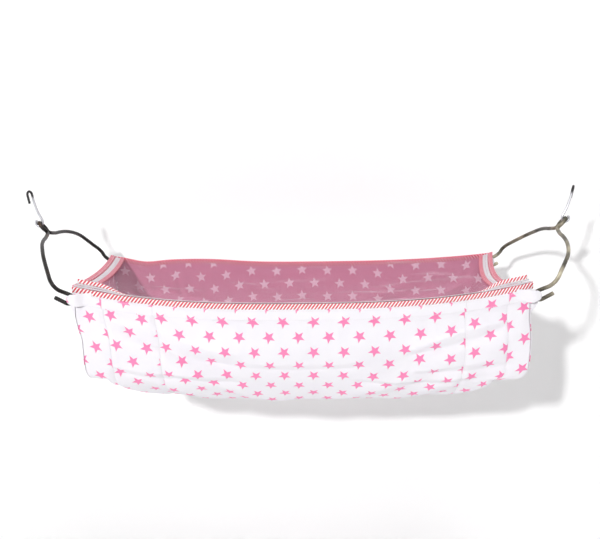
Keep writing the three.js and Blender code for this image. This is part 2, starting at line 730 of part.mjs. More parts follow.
/** A zip slider: a plate above and below the tapes, a web between them and an arch for the pull. */
function sliderBody() {
  const plate = (side) => new THREE.BoxGeometry(SLIDER_WIDTH, SLIDER_LENGTH, SLIDER_PLATE)
    .translate(0, 0, side * (slideFace + SLIDER_PLATE / 2));
  const web = new THREE.BoxGeometry(SLIDER_WEB, SLIDER_LENGTH / 2, 2 * slideFace + SLIDER_PLATE);
  return joined(plate(-1), plate(1), web, sliderArch());
}

/** The pull: a ring round the arch's bar, with a flat tab lying back along the zip. */
function sliderPull() {
  const ring = new THREE.Shape();
  ring.absarc(0, 0, PULL_RING_RADIUS, 0, 2 * Math.PI, false);
  const hole = new THREE.Path();
  hole.absarc(0, 0, PULL_RING_RADIUS - PULL_RING_WALL, 0, 2 * Math.PI, true);
  ring.holes.push(hole);
  const settings = { depth: PULL_RING_WIDTH, bevelEnabled: false, curveSegments: RING_SEGMENTS };
  const eye = new THREE.ExtrudeGeometry(ring, settings)
    .translate(0, 0, -PULL_RING_WIDTH / 2)
    .rotateY(Math.PI / 2);
  const tabStart = PULL_RING_RADIUS - PULL_RING_WALL / 2;
  const tab = new THREE.BoxGeometry(PULL_WIDTH, PULL_LENGTH, PULL_THICKNESS)
    .translate(0, tabStart + PULL_LENGTH / 2, 0);
  return joined(eye, tab);
}

// Assembly, with the rim's corners level with the tub group's origin

const pieceOf = (name, geometry, material) => {
  const mesh = new THREE.Mesh(geometry, material);
  mesh.name = name;
  return mesh;
};

/** The sewn tub with its linings, belts, rim bindings and the tub's half of the zips. */
function sewnTub() {
  const tub = new THREE.Group();
  const liningDepth = CLOTH + SEAM_GAP;
  tub.add(pieceOf('body_cloth', tubLength(0, CLOTH), printedCloth));
  tub.add(pieceOf('body_lining', tubLength(liningDepth, wall), pinkLining));
  tub.add(pieceOf('front_belt_band', beltBand(-1), printedCloth));
  tub.add(pieceOf('back_belt_band', beltBand(1), printedCloth));
  tub.add(pieceOf('front_rim_binding', longRimBinding(-1), stripedBinding));
  tub.add(pieceOf('back_rim_binding', longRimBinding(1), stripedBinding));
  const frontTape = frontStrip(frontTapeReach, frontTapeStart, FRONT_TAPE_WIDTH, TAPE_THICKNESS);
  tub.add(pieceOf('front_rim_tape', frontTape, zipTape));
  for (const [side, end] of Object.entries(ENDS)) {
    const panel = endPanel(end, 0, SEAM_GAP, SEAM_GAP + CLOTH);
    const lining = endPanel(end, wall + SEAM_GAP, -SEAM_GAP - LINING, -SEAM_GAP);
    tub.add(pieceOf(`${side}_end_panel`, panel, printedCloth));
    tub.add(pieceOf(`${side}_end_lining`, lining, pinkLining));
    const binding = endStrip(end, 0, BINDING_HEIGHT, END_BINDING_THICKNESS);
    const tape = endStrip(end, endZipStart, endZipStart + TAPE_WIDTH, TAPE_THICKNESS);
    tub.add(pieceOf(`${side}_rim_binding`, binding, stripedBinding));
    tub.add(pieceOf(`${side}_rim_tape`, tape, zipTape));
  }
  return tub;
}

/** The net cover: the net, its bindings and its half of the zips. */
function netCover() {
  const cover = new THREE.Group();
  const frontTape = frontStrip(netTapeReach, frontNetTape, FRONT_TAPE_WIDTH, TAPE_THICKNESS);
  const width = FRONT_NET_BINDING_WIDTH;
  const binding = frontStrip(netBindingReach, frontNetBinding, width, NET_BINDING_THICKNESS);
  cover.add(pieceOf('net_panel', netPanel(), netting));
  cover.add(pieceOf('front_net_tape', frontTape, zipTape));
  cover.add(pieceOf('front_net_binding', binding, stripedBinding));
  for (const [side, end] of Object.entries(ENDS)) {
    const clearOfSlider = SLIDER_PARK + SLIDER_LENGTH / 2 + ZIP_GAP;
    const tape = endStrip(end, endNetTape, endNetTape + TAPE_WIDTH, TAPE_THICKNESS, clearOfSlider);
    const edge = endStrip(end, endNetBinding, endBandWidth, NET_BINDING_THICKNESS);
    cover.add(pieceOf(`${side}_net_tape`, tape, zipTape));
    cover.add(pieceOf(`${side}_net_binding`, edge, stripedBinding));
  }
  return cover;
}

/** A zip slider parked at the front of an end zip, flat on its band, with its pull lying inward. */
function parkedSlider(side, end) {
  const slider = new THREE.Group();
  const [start, next] = bandPlaces.map((y) => endBandPoint(end, y, endZipMiddle, TAPE_THICKNESS / 2));
  const along = next.clone().sub(start).normalize();
  const outboard = endBandPoint(end, start.y, 0, 0).sub(endBandPoint(end, start.y, endBandWidth, 0));
  const up = outboard.multiplyScalar(end).cross(along).normalize();
  const aside = along.clone().cross(up);
  slider.quaternion.setFromRotationMatrix(new THREE.Matrix4().makeBasis(aside, along, up));
  slider.position.copy(start).addScaledVector(along, SLIDER_PARK);
  slider.add(pieceOf(`${side}_zip_slider`, sliderBody(), sliderMetal));
  const pull = pieceOf(`${side}_slider_pull`, sliderPull(), sliderMetal);
  pull.position.z = sliderTop + archBarOut;
  slider.add(pull);
  return slider;
}

/** A bail leaned out from the two loops of its end, with the hook that holds it. */
function hungBail(side, end) {
  const lean = radians(BAIL_LEAN);
  const leaned = new THREE.Group();
  leaned.rotation.y = lean;
  leaned.add(pieceOf(`${side}_bail`, bailRod(side, end), bronzedSteel));
  const hook = pieceOf(`${side}_hook`, hookWire(), plainSteel);
  hook.position.z = EYE_RISE;
  hook.rotation.y = radians(HOOK_LEAN) - lean;
  leaned.add(hook);
  const [front, back] = [loopTip(end, -1), loopTip(end, 1)];
  const turned = new THREE.Group();
  turned.position.copy(front).lerp(back, 1 / 2).setZ(footZ);
  turned.rotation.z = Math.atan2(front.x - back.x, back.y - front.y) + (end > 0 ? 0 : Math.PI);
  turned.add(leaned);
  return turned;
}

const crownHeight = footZ + EYE_RISE * Math.cos(radians(BAIL_LEAN));
const hookCrown = (HOOK_LENGTH + HOOK_CURL - WIRE / 2) * Math.cos(radians(HOOK_LEAN));

const cradle = new THREE.Group();
cradle.position.z = -(crownHeight + hookCrown);
cradle.add(sewnTub(), netCover());
for (const [side, end] of Object.entries(ENDS)) {
  cradle.add(parkedSlider(side, end), hungBail(side, end));
}

const model = new THREE.Group();
model.add(cradle);
export default model;
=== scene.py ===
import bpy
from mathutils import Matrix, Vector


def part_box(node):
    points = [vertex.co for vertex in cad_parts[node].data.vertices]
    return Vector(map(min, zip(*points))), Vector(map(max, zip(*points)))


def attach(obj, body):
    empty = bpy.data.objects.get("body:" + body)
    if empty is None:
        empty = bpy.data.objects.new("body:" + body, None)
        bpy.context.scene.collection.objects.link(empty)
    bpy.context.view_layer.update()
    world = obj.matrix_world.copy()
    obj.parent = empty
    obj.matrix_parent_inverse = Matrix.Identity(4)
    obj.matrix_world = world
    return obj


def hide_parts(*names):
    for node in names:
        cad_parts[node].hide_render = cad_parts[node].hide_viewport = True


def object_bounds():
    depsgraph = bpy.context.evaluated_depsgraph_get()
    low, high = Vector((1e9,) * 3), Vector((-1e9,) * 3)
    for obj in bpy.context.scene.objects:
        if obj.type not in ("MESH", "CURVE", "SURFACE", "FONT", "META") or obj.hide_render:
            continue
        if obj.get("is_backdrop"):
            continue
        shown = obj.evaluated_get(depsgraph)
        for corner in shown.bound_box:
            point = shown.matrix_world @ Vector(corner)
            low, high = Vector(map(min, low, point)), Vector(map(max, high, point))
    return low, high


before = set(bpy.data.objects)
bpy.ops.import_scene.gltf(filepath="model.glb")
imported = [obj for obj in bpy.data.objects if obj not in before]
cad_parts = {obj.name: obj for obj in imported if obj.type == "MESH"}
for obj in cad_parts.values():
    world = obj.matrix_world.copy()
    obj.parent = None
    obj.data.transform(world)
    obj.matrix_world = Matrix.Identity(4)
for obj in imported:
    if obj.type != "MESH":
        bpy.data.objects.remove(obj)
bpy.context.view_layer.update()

import logging
import math
from dataclasses import dataclass
from enum import Enum
from typing import Any, Callable, Mapping, Sequence

import bpy
import numpy as np
from mathutils import Euler

log = logging.getLogger("cradle")
Array = np.ndarray
Colour = tuple[float, float, float]
Piece = bpy.types.Object
Finish = bpy.types.Material

CLOTH_MAP = "cloth"
TINY = 1e-9
SIDEWAYS = (0.31, 0.95, 0.07)


# Values shared by the pieces


class Side(Enum):
    """The two ends and the two long sides, as signs along X or Y."""

    LEFT = -1
    RIGHT = 1
    FRONT = -2
    BACK = 2

    @property
    def sign(self) -> int:
        """-1 for left and front, 1 for right and back."""
        return 1 if self.value > 0 else -1

    @property
    def word(self) -> str:
        """The side's name as the nodes spell it."""
        return self.name.lower()


ENDS = (Side.LEFT, Side.RIGHT)
LONG_SIDES = (Side.FRONT, Side.BACK)


def smoothstep(value: Array, low: float, high: float) -> Array:
    """Rises from 0 at low to 1 at high: 3t squared less 2t cubed.

    Args:
        value: where to work it out.
        low: where the rise starts.
        high: where the rise ends.

    Returns:
        The share of the rise, 0 to 1.
    """
    t = np.clip((np.asarray(value, float) - low) / (high - low), 0.0, 1.0)
    return t * t * (3 - 2 * t)


def plain(red: int, green: int, blue: int) -> Colour:
    """A screen colour, 0 to 255 a channel, as linear light."""
    parts = [channel / 255 for channel in (red, green, blue)]
    return tuple(c / 12.92 if c <= 0.04045 else ((c + 0.055) / 1.055) ** 2.4 for c in parts)


# Meshes


class Surface:
    """A grid of points with cloth lengths on it, made into a mesh piece."""

    @staticmethod
    def piece(name: str, points: Array, cloth: Array, closed: bool = False) -> Piece:
        """Joins a grid of points into quads, in order along both of its ways.

        Args:
            name: the piece's name.
            points: rows by columns by 3, in metres.
            cloth: rows by columns by 2, metres along and across the cloth, with one column more if closed.
            closed: whether the last column meets the first and a fan to their middle closes each end.

        Returns:
            The new object, at the origin.
        """
        rows, columns = points.shape[:2]
        flat = Surface.quads(np.arange(rows * cloth.shape[1]).reshape(rows, -1))
        uv, verts = cloth.reshape(-1, 2)[flat.ravel()], points.reshape(-1, 3)
        if closed:
            quads, fans = Surface.shell(rows, columns)
            verts = np.concatenate([verts, points[[0, -1]].mean(axis=1)])
            uv = np.concatenate([uv, *(np.tile(cloth[end, 0], (3 * columns, 1)) for end in (0, -1))])
            piece = Surface.linked(name, verts, quads.tolist() + fans.tolist())
        else:
            piece = Surface.linked(name, verts, flat.tolist())
        piece.data.uv_layers.new(name=CLOTH_MAP).data.foreach_set("uv", uv.astype(np.float32).ravel())
        if closed:
            Surface.turned_out(piece)
        return piece

    @staticmethod
    def quads(place: Array) -> Array:
        """Four neighbours of a grid of numbers in a row, for each cell."""
        corners = [place[:-1, :-1], place[1:, :-1], place[1:, 1:], place[:-1, 1:]]
        return np.stack(corners, axis=-1).reshape(-1, 4)

    @staticmethod
    def shell(rows: int, columns: int) -> tuple[Array, Array]:
        """Faces of a closed bar: quads between its rings, and a fan from each end ring to a point of its own.

        Args:
            rows: how many rings.
            columns: points on each ring. The two ends' points follow the last ring's.

        Returns:
            The quads, and the fans' triangles.
        """
        ring = np.arange(rows * columns).reshape(rows, columns)
        ring = np.concatenate([ring, ring[:, :1]], axis=1)
        first, last = (np.full(columns, rows * columns + number) for number in (0, 1))
        fans = [spread(first, ring[0, :-1], ring[0, 1:]), spread(last, ring[-1, 1:], ring[-1, :-1])]
        return Surface.quads(ring), np.concatenate(fans)

    @staticmethod
    def linked(name: str, verts: Array, polygons: list[list[int]]) -> Piece:
        """A smooth mesh as an object in the scene, at the origin.

        Args:
            name: the piece's name.
            verts: its points, by 3.
            polygons: its faces.

        Returns:
            The new object.
        """
        mesh = bpy.data.meshes.new(name)
        mesh.from_pydata(verts.tolist(), [], polygons)
        mesh.polygons.foreach_set("use_smooth", np.full(len(polygons), True))
        mesh.update()
        piece = bpy.data.objects.new(name, mesh)
        bpy.context.scene.collection.objects.link(piece)
        return piece

    @staticmethod
    def turned_out(piece: Piece, outward: Array | None = None) -> None:
        """Flips the mesh if most of its area faces the wrong way.

        Args:
            piece: the piece to turn.
            outward: the way that a sheet faces on the whole. A closed mesh is summed over its own volume.
        """
        faces = piece.data.polygons
        normal, centre, area = (np.zeros((len(faces), size)) for size in (3, 3, 1))
        for key, values in (("normal", normal), ("center", centre), ("area", area)):
            faces.foreach_get(key, values.ravel())
        way = centre if outward is None else outward
        if float((normal * way * area).sum()) < 0:
            piece.data.flip_normals()

    @staticmethod
    def thick(piece: Piece, thickness: float) -> None:
        """Gives a sheet its wall, inward from its face."""
        wall = piece.modifiers.new("wall", "SOLIDIFY")
        wall.thickness, wall.offset = thickness, -1.0


def lengths_along(points: Array) -> Array:
    """Distance along each row of a grid, summed from its first point.

    Args:
        points: rows by columns by 3.

    Returns:
        Rows by columns, in metres.
    """
    steps = np.linalg.norm(np.diff(points, axis=1), axis=-1)
    return np.concatenate([np.zeros((len(points), 1)), np.cumsum(steps, axis=1)], axis=1)


def run_along(line: Array) -> Array:
    """Distance along a line of points, summed from its first."""
    return lengths_along(line[None])[0]


def unit(vectors: Array) -> Array:
    """Vectors of length 1 that point the same ways."""
    return vectors / np.linalg.norm(vectors, axis=-1, keepdims=True)


def spread(*parts: Array | float) -> Array:
    """Parts of any matching shapes, joined as the last axis."""
    return np.stack(np.broadcast_arrays(*parts), axis=-1)


def rounded_ring(count: int, power: float = 4.0) -> Array:
    """A rounded square of half side 1: cosine and sine, each raised to 2 over a power with its sign kept.

    Args:
        count: points round the ring.
        power: 2 gives a circle, and higher values squarer shapes.

    Returns:
        Count by 2.
    """
    angle = np.linspace(0, 2 * np.pi, count, endpoint=False)
    both = np.stack([np.cos(angle), np.sin(angle)], axis=-1)
    return np.sign(both) * np.abs(both) ** (2 / power)


class Tube:
    """A round bar along a smooth line. Its dome is two rings, at shares of the radius beyond each end."""

    dome: tuple[float, ...] = (0.3, 0.55)

    @staticmethod
    def smooth_line(knots: Array, steps: int) -> Array:
        """A centripetal Catmull-Rom line: each span's knots are spaced by the root of their distance apart.

        Args:
            knots: the points that the line passes.
            steps: points on each span.

        Returns:
            Points by 3, evenly spaced in each span.
        """
        ends = np.concatenate([[2 * knots[0] - knots[1]], knots, [2 * knots[-1] - knots[-2]]])
        p0, p1, p2, p3 = ends[:-3], ends[1:-2], ends[2:-1], ends[3:]
        gap = [np.sqrt(np.maximum(np.linalg.norm(b - a, axis=1), TINY))[:, None]
               for a, b in ((p0, p1), (p1, p2), (p2, p3))]
        before = ((p1 - p0) / gap[0] - (p2 - p0) / (gap[0] + gap[1]) + (p2 - p1) / gap[1]) * gap[1]
        after = ((p2 - p1) / gap[1] - (p3 - p1) / (gap[1] + gap[2]) + (p3 - p2) / gap[2]) * gap[1]
        t = np.linspace(0, 1, steps, endpoint=False)[None, :, None]
        p1, p2, before, after = (v[:, None, :] for v in (p1, p2, before, after))
        line = (2 * t**3 - 3 * t**2 + 1) * p1 + (t**3 - 2 * t**2 + t) * before
        line = line + (3 * t**2 - 2 * t**3) * p2 + (t**3 - t**2) * after
        return np.concatenate([line.reshape(-1, knots.shape[1]), knots[-1:]])

    @staticmethod
    def frames(line: Array) -> tuple[Array, Array]:
        """Two directions across a line at each point, carried along it so that they twist least.

        Args:
            line: points by 3.

        Returns:
            The two directions, points by 3 each.
        """
        run = unit(np.gradient(line, axis=0))
        across = [unit(np.cross(run[0], SIDEWAYS))]
        for direction in run[1:]:
            across.append(unit(across[-1] - direction * float(across[-1] @ direction)))
        across = np.array(across)
        return across, np.cross(run, across)

    @classmethod
    def piece(cls, name: str, line: Array, radius: Array, sides: int) -> Piece:
        """A closed bar: round the line, radius times cosine one way and sine the other, with domed ends.

        Args:
            name: the piece's name.
            line: points by 3.
            radius: one radius, or one for each point.
            sides: points round the bar.

        Returns:
            The piece.
        """
        across, up = cls.frames(line)
        size = np.broadcast_to(np.asarray(radius, float), (len(line),)).copy()
        angle = np.linspace(0, 2 * np.pi, sides, endpoint=False)
        turn = np.cos(angle)[None, :, None] * across[:, None] + np.sin(angle)[None, :, None] * up[:, None]
        lead, tail = unit(line[1] - line[0]), unit(line[-1] - line[-2])
        rings = line[:, None, :] + turn * size[:, None, None]
        front = [line[0] + size[0] * (turn[0] * math.sqrt(1 - d * d) - lead * d) for d in cls.dome[::-1]]
        back = [line[-1] + size[-1] * (turn[-1] * math.sqrt(1 - d * d) + tail * d) for d in cls.dome]
        rings = np.concatenate([np.array(front), rings, np.array(back)])
        round_way = np.linspace(0, 2 * np.pi * float(size[0]), sides + 1)
        cloth = spread(run_along(rings.mean(axis=1))[:, None], round_way[None, :])
        return Surface.piece(name, rings, cloth, closed=True)


# Materials


def maths(operation: str, swapped: bool = False) -> Callable[..., "Tone"]:
    """A method of Tone that adds a Math node.

    Args:
        operation: the node's operation.
        swapped: whether the other value comes first, as in a reflected operator.

    Returns:
        The method.
    """
    def method(self: "Tone", *others: Any) -> "Tone":
        """The Math node's result on this tone and the others."""
        values = (*others, self) if swapped else (self, *others)
        return self.graph.node("ShaderNodeMath", {"operation": operation}, dict(enumerate(values)))
    return method


class Tone:
    """A number that runs through a material's nodes. Its operators and methods add Math nodes."""

    def __init__(self, graph: "Graph", socket: bpy.types.NodeSocket) -> None:
        """Keeps the graph and the socket that the number comes out of."""
        self.graph = graph
        self.socket = socket

    __add__ = __radd__ = maths("ADD")
    __sub__, __rsub__ = maths("SUBTRACT"), maths("SUBTRACT", swapped=True)
    __mul__ = __rmul__ = maths("MULTIPLY")
    __truediv__, __rtruediv__ = maths("DIVIDE"), maths("DIVIDE", swapped=True)
    __mod__, __abs__ = maths("FLOORED_MODULO"), maths("ABSOLUTE")
    __gt__, __lt__ = maths("GREATER_THAN"), maths("LESS_THAN")
    floor, sine, cosine, root = maths("FLOOR"), maths("SINE"), maths("COSINE"), maths("SQRT")
    angle_to, least, most = maths("ARCTAN2"), maths("MINIMUM"), maths("MAXIMUM")

    def held(self) -> "Tone":
        """Kept between 0 and 1."""
        return self.least(1.0).most(0.0)


class Graph:
    """The nodes of one material, or of the world."""

    def __init__(self, name: str, tree: bpy.types.NodeTree | None = None) -> None:
        """Starts an empty material of that name, or takes up a tree that is there already.

        Args:
            name: what a new material is called.
            tree: the nodes of the world, if it is for that.
        """
        self.tree = tree
        if tree is None:
            self.material = bpy.data.materials.new(name)
            self.material.use_nodes = True
            self.tree = self.material.node_tree
            self.tree.nodes.clear()

    def node(self, kind: str, settings: Mapping[str, Any], sockets: Mapping[Any, Any],
             output: Any = 0) -> Tone:
        """Adds a node.

        Args:
            kind: the node's type.
            settings: its own settings, set first.
            sockets: input names or numbers, with the values or tones that go in.
            output: which output to hand on.

        Returns:
            The output as a tone.
        """
        made = self.tree.nodes.new(kind)
        for key, value in settings.items():
            setattr(made, key, value)
        for key, value in sockets.items():
            if isinstance(value, Tone):
                self.tree.links.new(value.socket, made.inputs[key])
            else:
                made.inputs[key].default_value = value
        return Tone(self, made.outputs[output])

    def mixed(self, share: Any, first: Any, second: Any) -> Tone:
        """A colour between two: the first at 0, the second at 1."""
        values = {0: share, 6: self._colour(first), 7: self._colour(second)}
        return self.node("ShaderNodeMix", {"data_type": "RGBA"}, values, output=2)

    @staticmethod
    def _colour(value: Any) -> Any:
        """A plain colour with its alpha, or the tone as it is."""
        return value if isinstance(value, Tone) else (*value, 1.0)

    def cloth_lengths(self) -> tuple[Tone, Tone]:
        """Metres along and across the cloth, from the piece's own map."""
        spot = self.node("ShaderNodeUVMap", {"uv_map": CLOTH_MAP}, {})
        return self.parts(spot)[:2]

    def parts(self, vector: Tone) -> list[Tone]:
        """The three parts of a vector."""
        split = self.node("ShaderNodeSeparateXYZ", {}, {0: vector})
        return [Tone(self, socket) for socket in split.socket.node.outputs]

    def joined(self, x: Any, y: Any, z: Any = 0.0) -> Tone:
        """A vector of three parts."""
        return self.node("ShaderNodeCombineXYZ", {}, {0: x, 1: y, 2: z})

    def place(self) -> Tone:
        """The point on the piece, in metres."""
        return self.node("ShaderNodeTexCoord", {}, {}, output="Object")

    def noise(self, where: Tone, scale: float, detail: float = 2.0, roughness: float = 0.5) -> Tone:
        """Smooth noise, about 0 to 1."""
        sockets = {"Vector": where, "Scale": scale, "Detail": detail, "Roughness": roughness}
        return self.node("ShaderNodeTexNoise", {}, sockets)

    def bumped(self, height: Tone, distance: float, strength: float = 1.0, under: Tone | None = None) -> Tone:
        """A normal from a height of 0 to 1 that stands for a distance in metres.

        Args:
            height: the height.
            distance: metres that 1 stands for.
            strength: share of it that shows.
            under: the normal it goes over.

        Returns:
            The normal.
        """
        sockets = {"Height": height, "Distance": distance, "Strength": strength}
        if under is not None:
            sockets["Normal"] = under
        return self.node("ShaderNodeBump", {}, sockets)

    def finish(self, **sockets: Any) -> Finish:
        """Ends the material in a Principled shader with these inputs, with underscores for spaces.

        Returns:
            The material.
        """
        values = {name.replace("_", " "): value for name, value in sockets.items()}
        colour = values.get("Base Color")
        if isinstance(colour, tuple):
            values["Base Color"] = (*colour, 1.0)
        self.node_out(self.node("ShaderNodeBsdfPrincipled", {}, values))
        return self.material

    def node_out(self, shader: Tone) -> None:
        """Links a shader to the material's output."""
        end = self.tree.nodes.new("ShaderNodeOutputMaterial")
        self.tree.links.new(shader.socket, end.inputs["Surface"])

    def weave(self, along: Tone, across: Tone, pitch: float) -> Tone:
        """Plain weave: the product of two sine waves, one thread pitch each way, from 0 to 1."""
        turn = 2 * math.pi / pitch
        return (along * turn).sine() * (across * turn).sine() * 0.5 + 0.5


@dataclass(frozen=True)
class StarPrint:
    """Woven cotton printed with rows of five-pointed stars, each row set half a pitch along from the last."""

    name: str
    ground: Colour
    # The next colour is the ground as seen in shade: painted shade, spread in soft random clouds and along
    # each seam.
    painted_shade: Colour
    star: Colour
    pitch: float
    row: float
    tip: float
    waist: float
    breaks: tuple[tuple[float, float, float], ...] = ()
    crease: float = 0.0006
    turn: float = 7.0
    stray: float = 5.0
    soft_edge: float = 0.0005
    seam_half: float = 0.0011
    thread_pitch: float = 0.0009

    def star_mask(self, graph: Graph, along: Tone, across: Tone) -> Tone:
        """1 inside a star: its cell is folded to a tenth of a turn, with a straight edge from tip to waist.

        Args:
            graph: the material's nodes.
            along: metres along the cloth.
            across: metres across the cloth.

        Returns:
            The mask, soft at its edge.
        """
        row = (across / self.row).floor()
        staggered = along + (row % 2.0) * (self.pitch / 2)
        x = staggered % self.pitch - self.pitch / 2
        cell = graph.joined((staggered / self.pitch).floor(), row)
        chance = graph.node("ShaderNodeTexWhiteNoise", {"noise_dimensions": "2D"}, {"Vector": cell}, "Value")
        turned = (chance - 0.5) * math.radians(self.stray) + math.radians(self.turn)
        y = across % self.row - self.row / 2
        fifth = 2 * math.pi / 5
        angle = abs((x.angle_to(y) + turned + (fifth / 2 + 2 * math.pi)) % fifth - fifth / 2)
        radius = (x * x + y * y).root()
        waist_x = self.waist * math.cos(fifth / 2)
        waist_y = self.waist * math.sin(fifth / 2)
        norm = math.hypot(waist_y, self.tip - waist_x)
        from_tip = (radius * angle.cosine() - self.tip) * (waist_y / norm)
        edge = from_tip + radius * angle.sine() * ((self.tip - waist_x) / norm)
        return (0.5 - edge / self.soft_edge).held()

    def material(self) -> Finish:
        """The print, its weave and its fine creases.

        Returns:
            The material.
        """
        graph = Graph(self.name)
        along, across = graph.cloth_lengths()
        printed_along, printed_across, seam = along, across, None
        for start, jump, drop in self.breaks:
            past = along > start
            printed_along = printed_along + past * jump
            printed_across = printed_across + past * drop
            line = (1.0 - abs(along - start) / self.seam_half).held()
            seam = line if seam is None else seam.most(line)
        mask = self.star_mask(graph, printed_along, printed_across)
        spot = graph.joined(along, across)
        cloud = graph.noise(spot, 14.0, 3.0)
        # Soft random clouds of the shade colour over the ground: painted shade.
        ground = graph.mixed(cloud, self.ground, self.painted_shade)
        ink = graph.noise(spot, 900.0, 1.0)
        inked = (mask * (0.9 + ink * 0.16)).held()
        colour = graph.mixed(inked, ground, self.star)
        # Each seam's line is darkened towards the shade colour: painted shade in the seam's groove.
        if seam is not None:
            colour = graph.mixed(seam * 0.25, colour, self.painted_shade)
        thread = graph.weave(along, across, self.thread_pitch)
        wrinkle = graph.noise(graph.joined(along, across * 1.7), 42.0, 4.0, 0.55)
        normal = graph.bumped(wrinkle, self.crease * 4, 0.5)
        normal = graph.bumped(thread, 0.00012, 0.6, under=normal)
        if seam is not None:
            normal = graph.bumped(1.0 - seam, 0.0008, 0.8, under=normal)
        return graph.finish(Base_Color=colour, Roughness=0.86 + cloud * 0.1, Normal=normal, Sheen_Weight=0.15,
                            Sheen_Roughness=0.6, Specular_IOR_Level=0.25)


@dataclass(frozen=True)
class BiasStripe:
    """Folded bias binding with thin slanting stripes and a stitched edge."""

    name: str
    red: Colour
    white: Colour
    pitch: float
    lean: float
    red_share: float
    faded: Colour = plain(226, 120, 134)
    soft_edge: float = 0.0004
    thread_pitch: float = 0.0008

    def material(self) -> Finish:
        """Stripes along lines of along less across times the lean, with a soft edge.

        Returns:
            The material.
        """
        graph = Graph(self.name)
        along, across = graph.cloth_lengths()
        place = (along - across * self.lean) % self.pitch
        from_middle = abs(place - self.pitch / 2)
        mask = ((self.pitch * self.red_share / 2 - from_middle) / self.soft_edge + 0.5).held()
        faded = graph.noise(graph.joined(along, across), 60.0)
        red = graph.mixed(faded * 0.5, self.red, self.faded)
        colour = graph.mixed(mask, self.white, red)
        thread = graph.weave(along, across, self.thread_pitch)
        pucker = graph.noise(graph.joined(along, across * 0.3), 150.0)
        normal = graph.bumped(pucker, 0.0011, 0.6)
        normal = graph.bumped(thread, 0.0001, 0.6, under=normal)
        return graph.finish(Base_Color=colour, Roughness=0.8 + faded * 0.1, Normal=normal, Sheen_Weight=0.1,
                            Specular_IOR_Level=0.3)


@dataclass(frozen=True)
class ZipTape:
    """Woven zip tape: fine ribs along it, greyer in soft clouds."""

    name: str
    cloth: Colour
    grime: Colour
    rib_pitch: float = 0.0007

    def material(self) -> Finish:
        """Ribs by a sine wave across the tape.

        Returns:
            The material.
        """
        graph = Graph(self.name)
        along, across = graph.cloth_lengths()
        ribs = (across * (2 * math.pi / self.rib_pitch)).sine() * 0.125 + 0.125
        cloud = graph.noise(graph.joined(along, across), 90.0, 3.0)
        colour = graph.mixed(cloud * 0.6, self.cloth, self.grime)
        return graph.finish(Base_Color=colour, Roughness=0.75, Normal=graph.bumped(ribs, 0.0006, 0.8),
                            Sheen_Weight=0.05)


@dataclass(frozen=True)
class Netting:
    """Fine soft netting: a pale haze over what lies behind, in a lavender grey that is white netting darkened
    by painted shade, with long faint creases made paler by a painted highlight.
    """

    name: str
    # The thread colour is white netting darkened to lavender grey: painted shade.
    thread: Colour
    cover_front: float
    cover_back: float
    width: float
    # The crease colour is a painted highlight along the net's creases.
    crease: Colour = plain(238, 226, 238)
    mesh_pitch: float = 0.0016
    crease_from: float = 0.55
    crease_gain: float = 5.0

    def material(self) -> Finish:
        """A cover that falls from front to back, woven finely, and denser along its creases, which a painted
        highlight makes paler.

        Returns:
            The material.
        """
        graph = Graph(self.name)
        along, across = graph.cloth_lengths()
        share = (across / self.width).held()
        base = self.cover_front + share * (self.cover_back - self.cover_front)
        threads = graph.weave(along, across, self.mesh_pitch)
        streak = graph.noise(graph.joined(along * 0.22 + across * 0.5, across - along * 0.12), 26.0)
        crease = ((streak - self.crease_from) * self.crease_gain).held()
        alpha = (base * (0.82 + threads * 0.3) + crease * 0.10).held()
        # Shaded thread colour, paler along the creases: painted shade and a painted highlight.
        colour = graph.mixed(crease, self.thread, self.crease)
        normal = graph.bumped(streak, 0.002, 0.5)
        return graph.finish(Base_Color=colour, Roughness=0.7, Alpha=alpha, Normal=normal, Sheen_Weight=0.2)


@dataclass(frozen=True)
class CoatedRod:
    """Bronze-brown coated rod, darker along some lengths, with paler patches on others that are painted
    highlights.
    """

    name: str
    dark: Colour
    pale: Colour
    highlight_share: float
    patch_scale: float = 17.0
    patch_gain: float = 3.2

    def material(self) -> Finish:
        """Two tones by soft noise, with fine scratches along the rod.

        Returns:
            The material.
        """
        graph = Graph(self.name)
        along, around = graph.cloth_lengths()
        patch = graph.noise(graph.place(), self.patch_scale, 3.0)
        highlight_patch = ((patch - (0.66 - self.highlight_share * 0.4)) * self.patch_gain).held()
        scratch = graph.noise(graph.joined(along * 6.0, around * 60.0), 12.0)
        # The paler patches are painted highlights.
        colour = graph.mixed(highlight_patch, self.dark, self.pale)
        rough = 0.34 + highlight_patch * 0.14 + scratch * 0.12
        normal = graph.bumped(patch * 0.6 + scratch * 0.4, 0.0004, 0.5)
        return graph.finish(Base_Color=colour, Metallic=0.55 + highlight_patch * 0.3, Roughness=rough, Normal=normal)


@dataclass(frozen=True)
class DrawnWire:
    """Bright drawn wire, dipped in black at its upper curl."""

    name: str
    steel: Colour
    dip: Colour
    dip_from: float
    dip_soft: float
    bright: Colour = plain(200, 200, 204)

    def material(self) -> Finish:
        """Steel below a height on the wire and black above it, by metres along.

        Returns:
            The material.
        """
        graph = Graph(self.name)
        along, around = graph.cloth_lengths()
        dipped = ((along - self.dip_from) / self.dip_soft).held()
        streak = graph.noise(graph.joined(along * 20.0, around * 120.0), 10.0)
        steel = graph.mixed(streak, self.steel, self.bright)
        colour = graph.mixed(dipped, steel, self.dip)
        normal = graph.bumped(streak, 0.0002, 0.4)
        rough = 0.26 + dipped * 0.24 + streak * 0.1
        return graph.finish(Base_Color=colour, Metallic=0.95 - dipped * 0.75, Roughness=rough, Normal=normal)


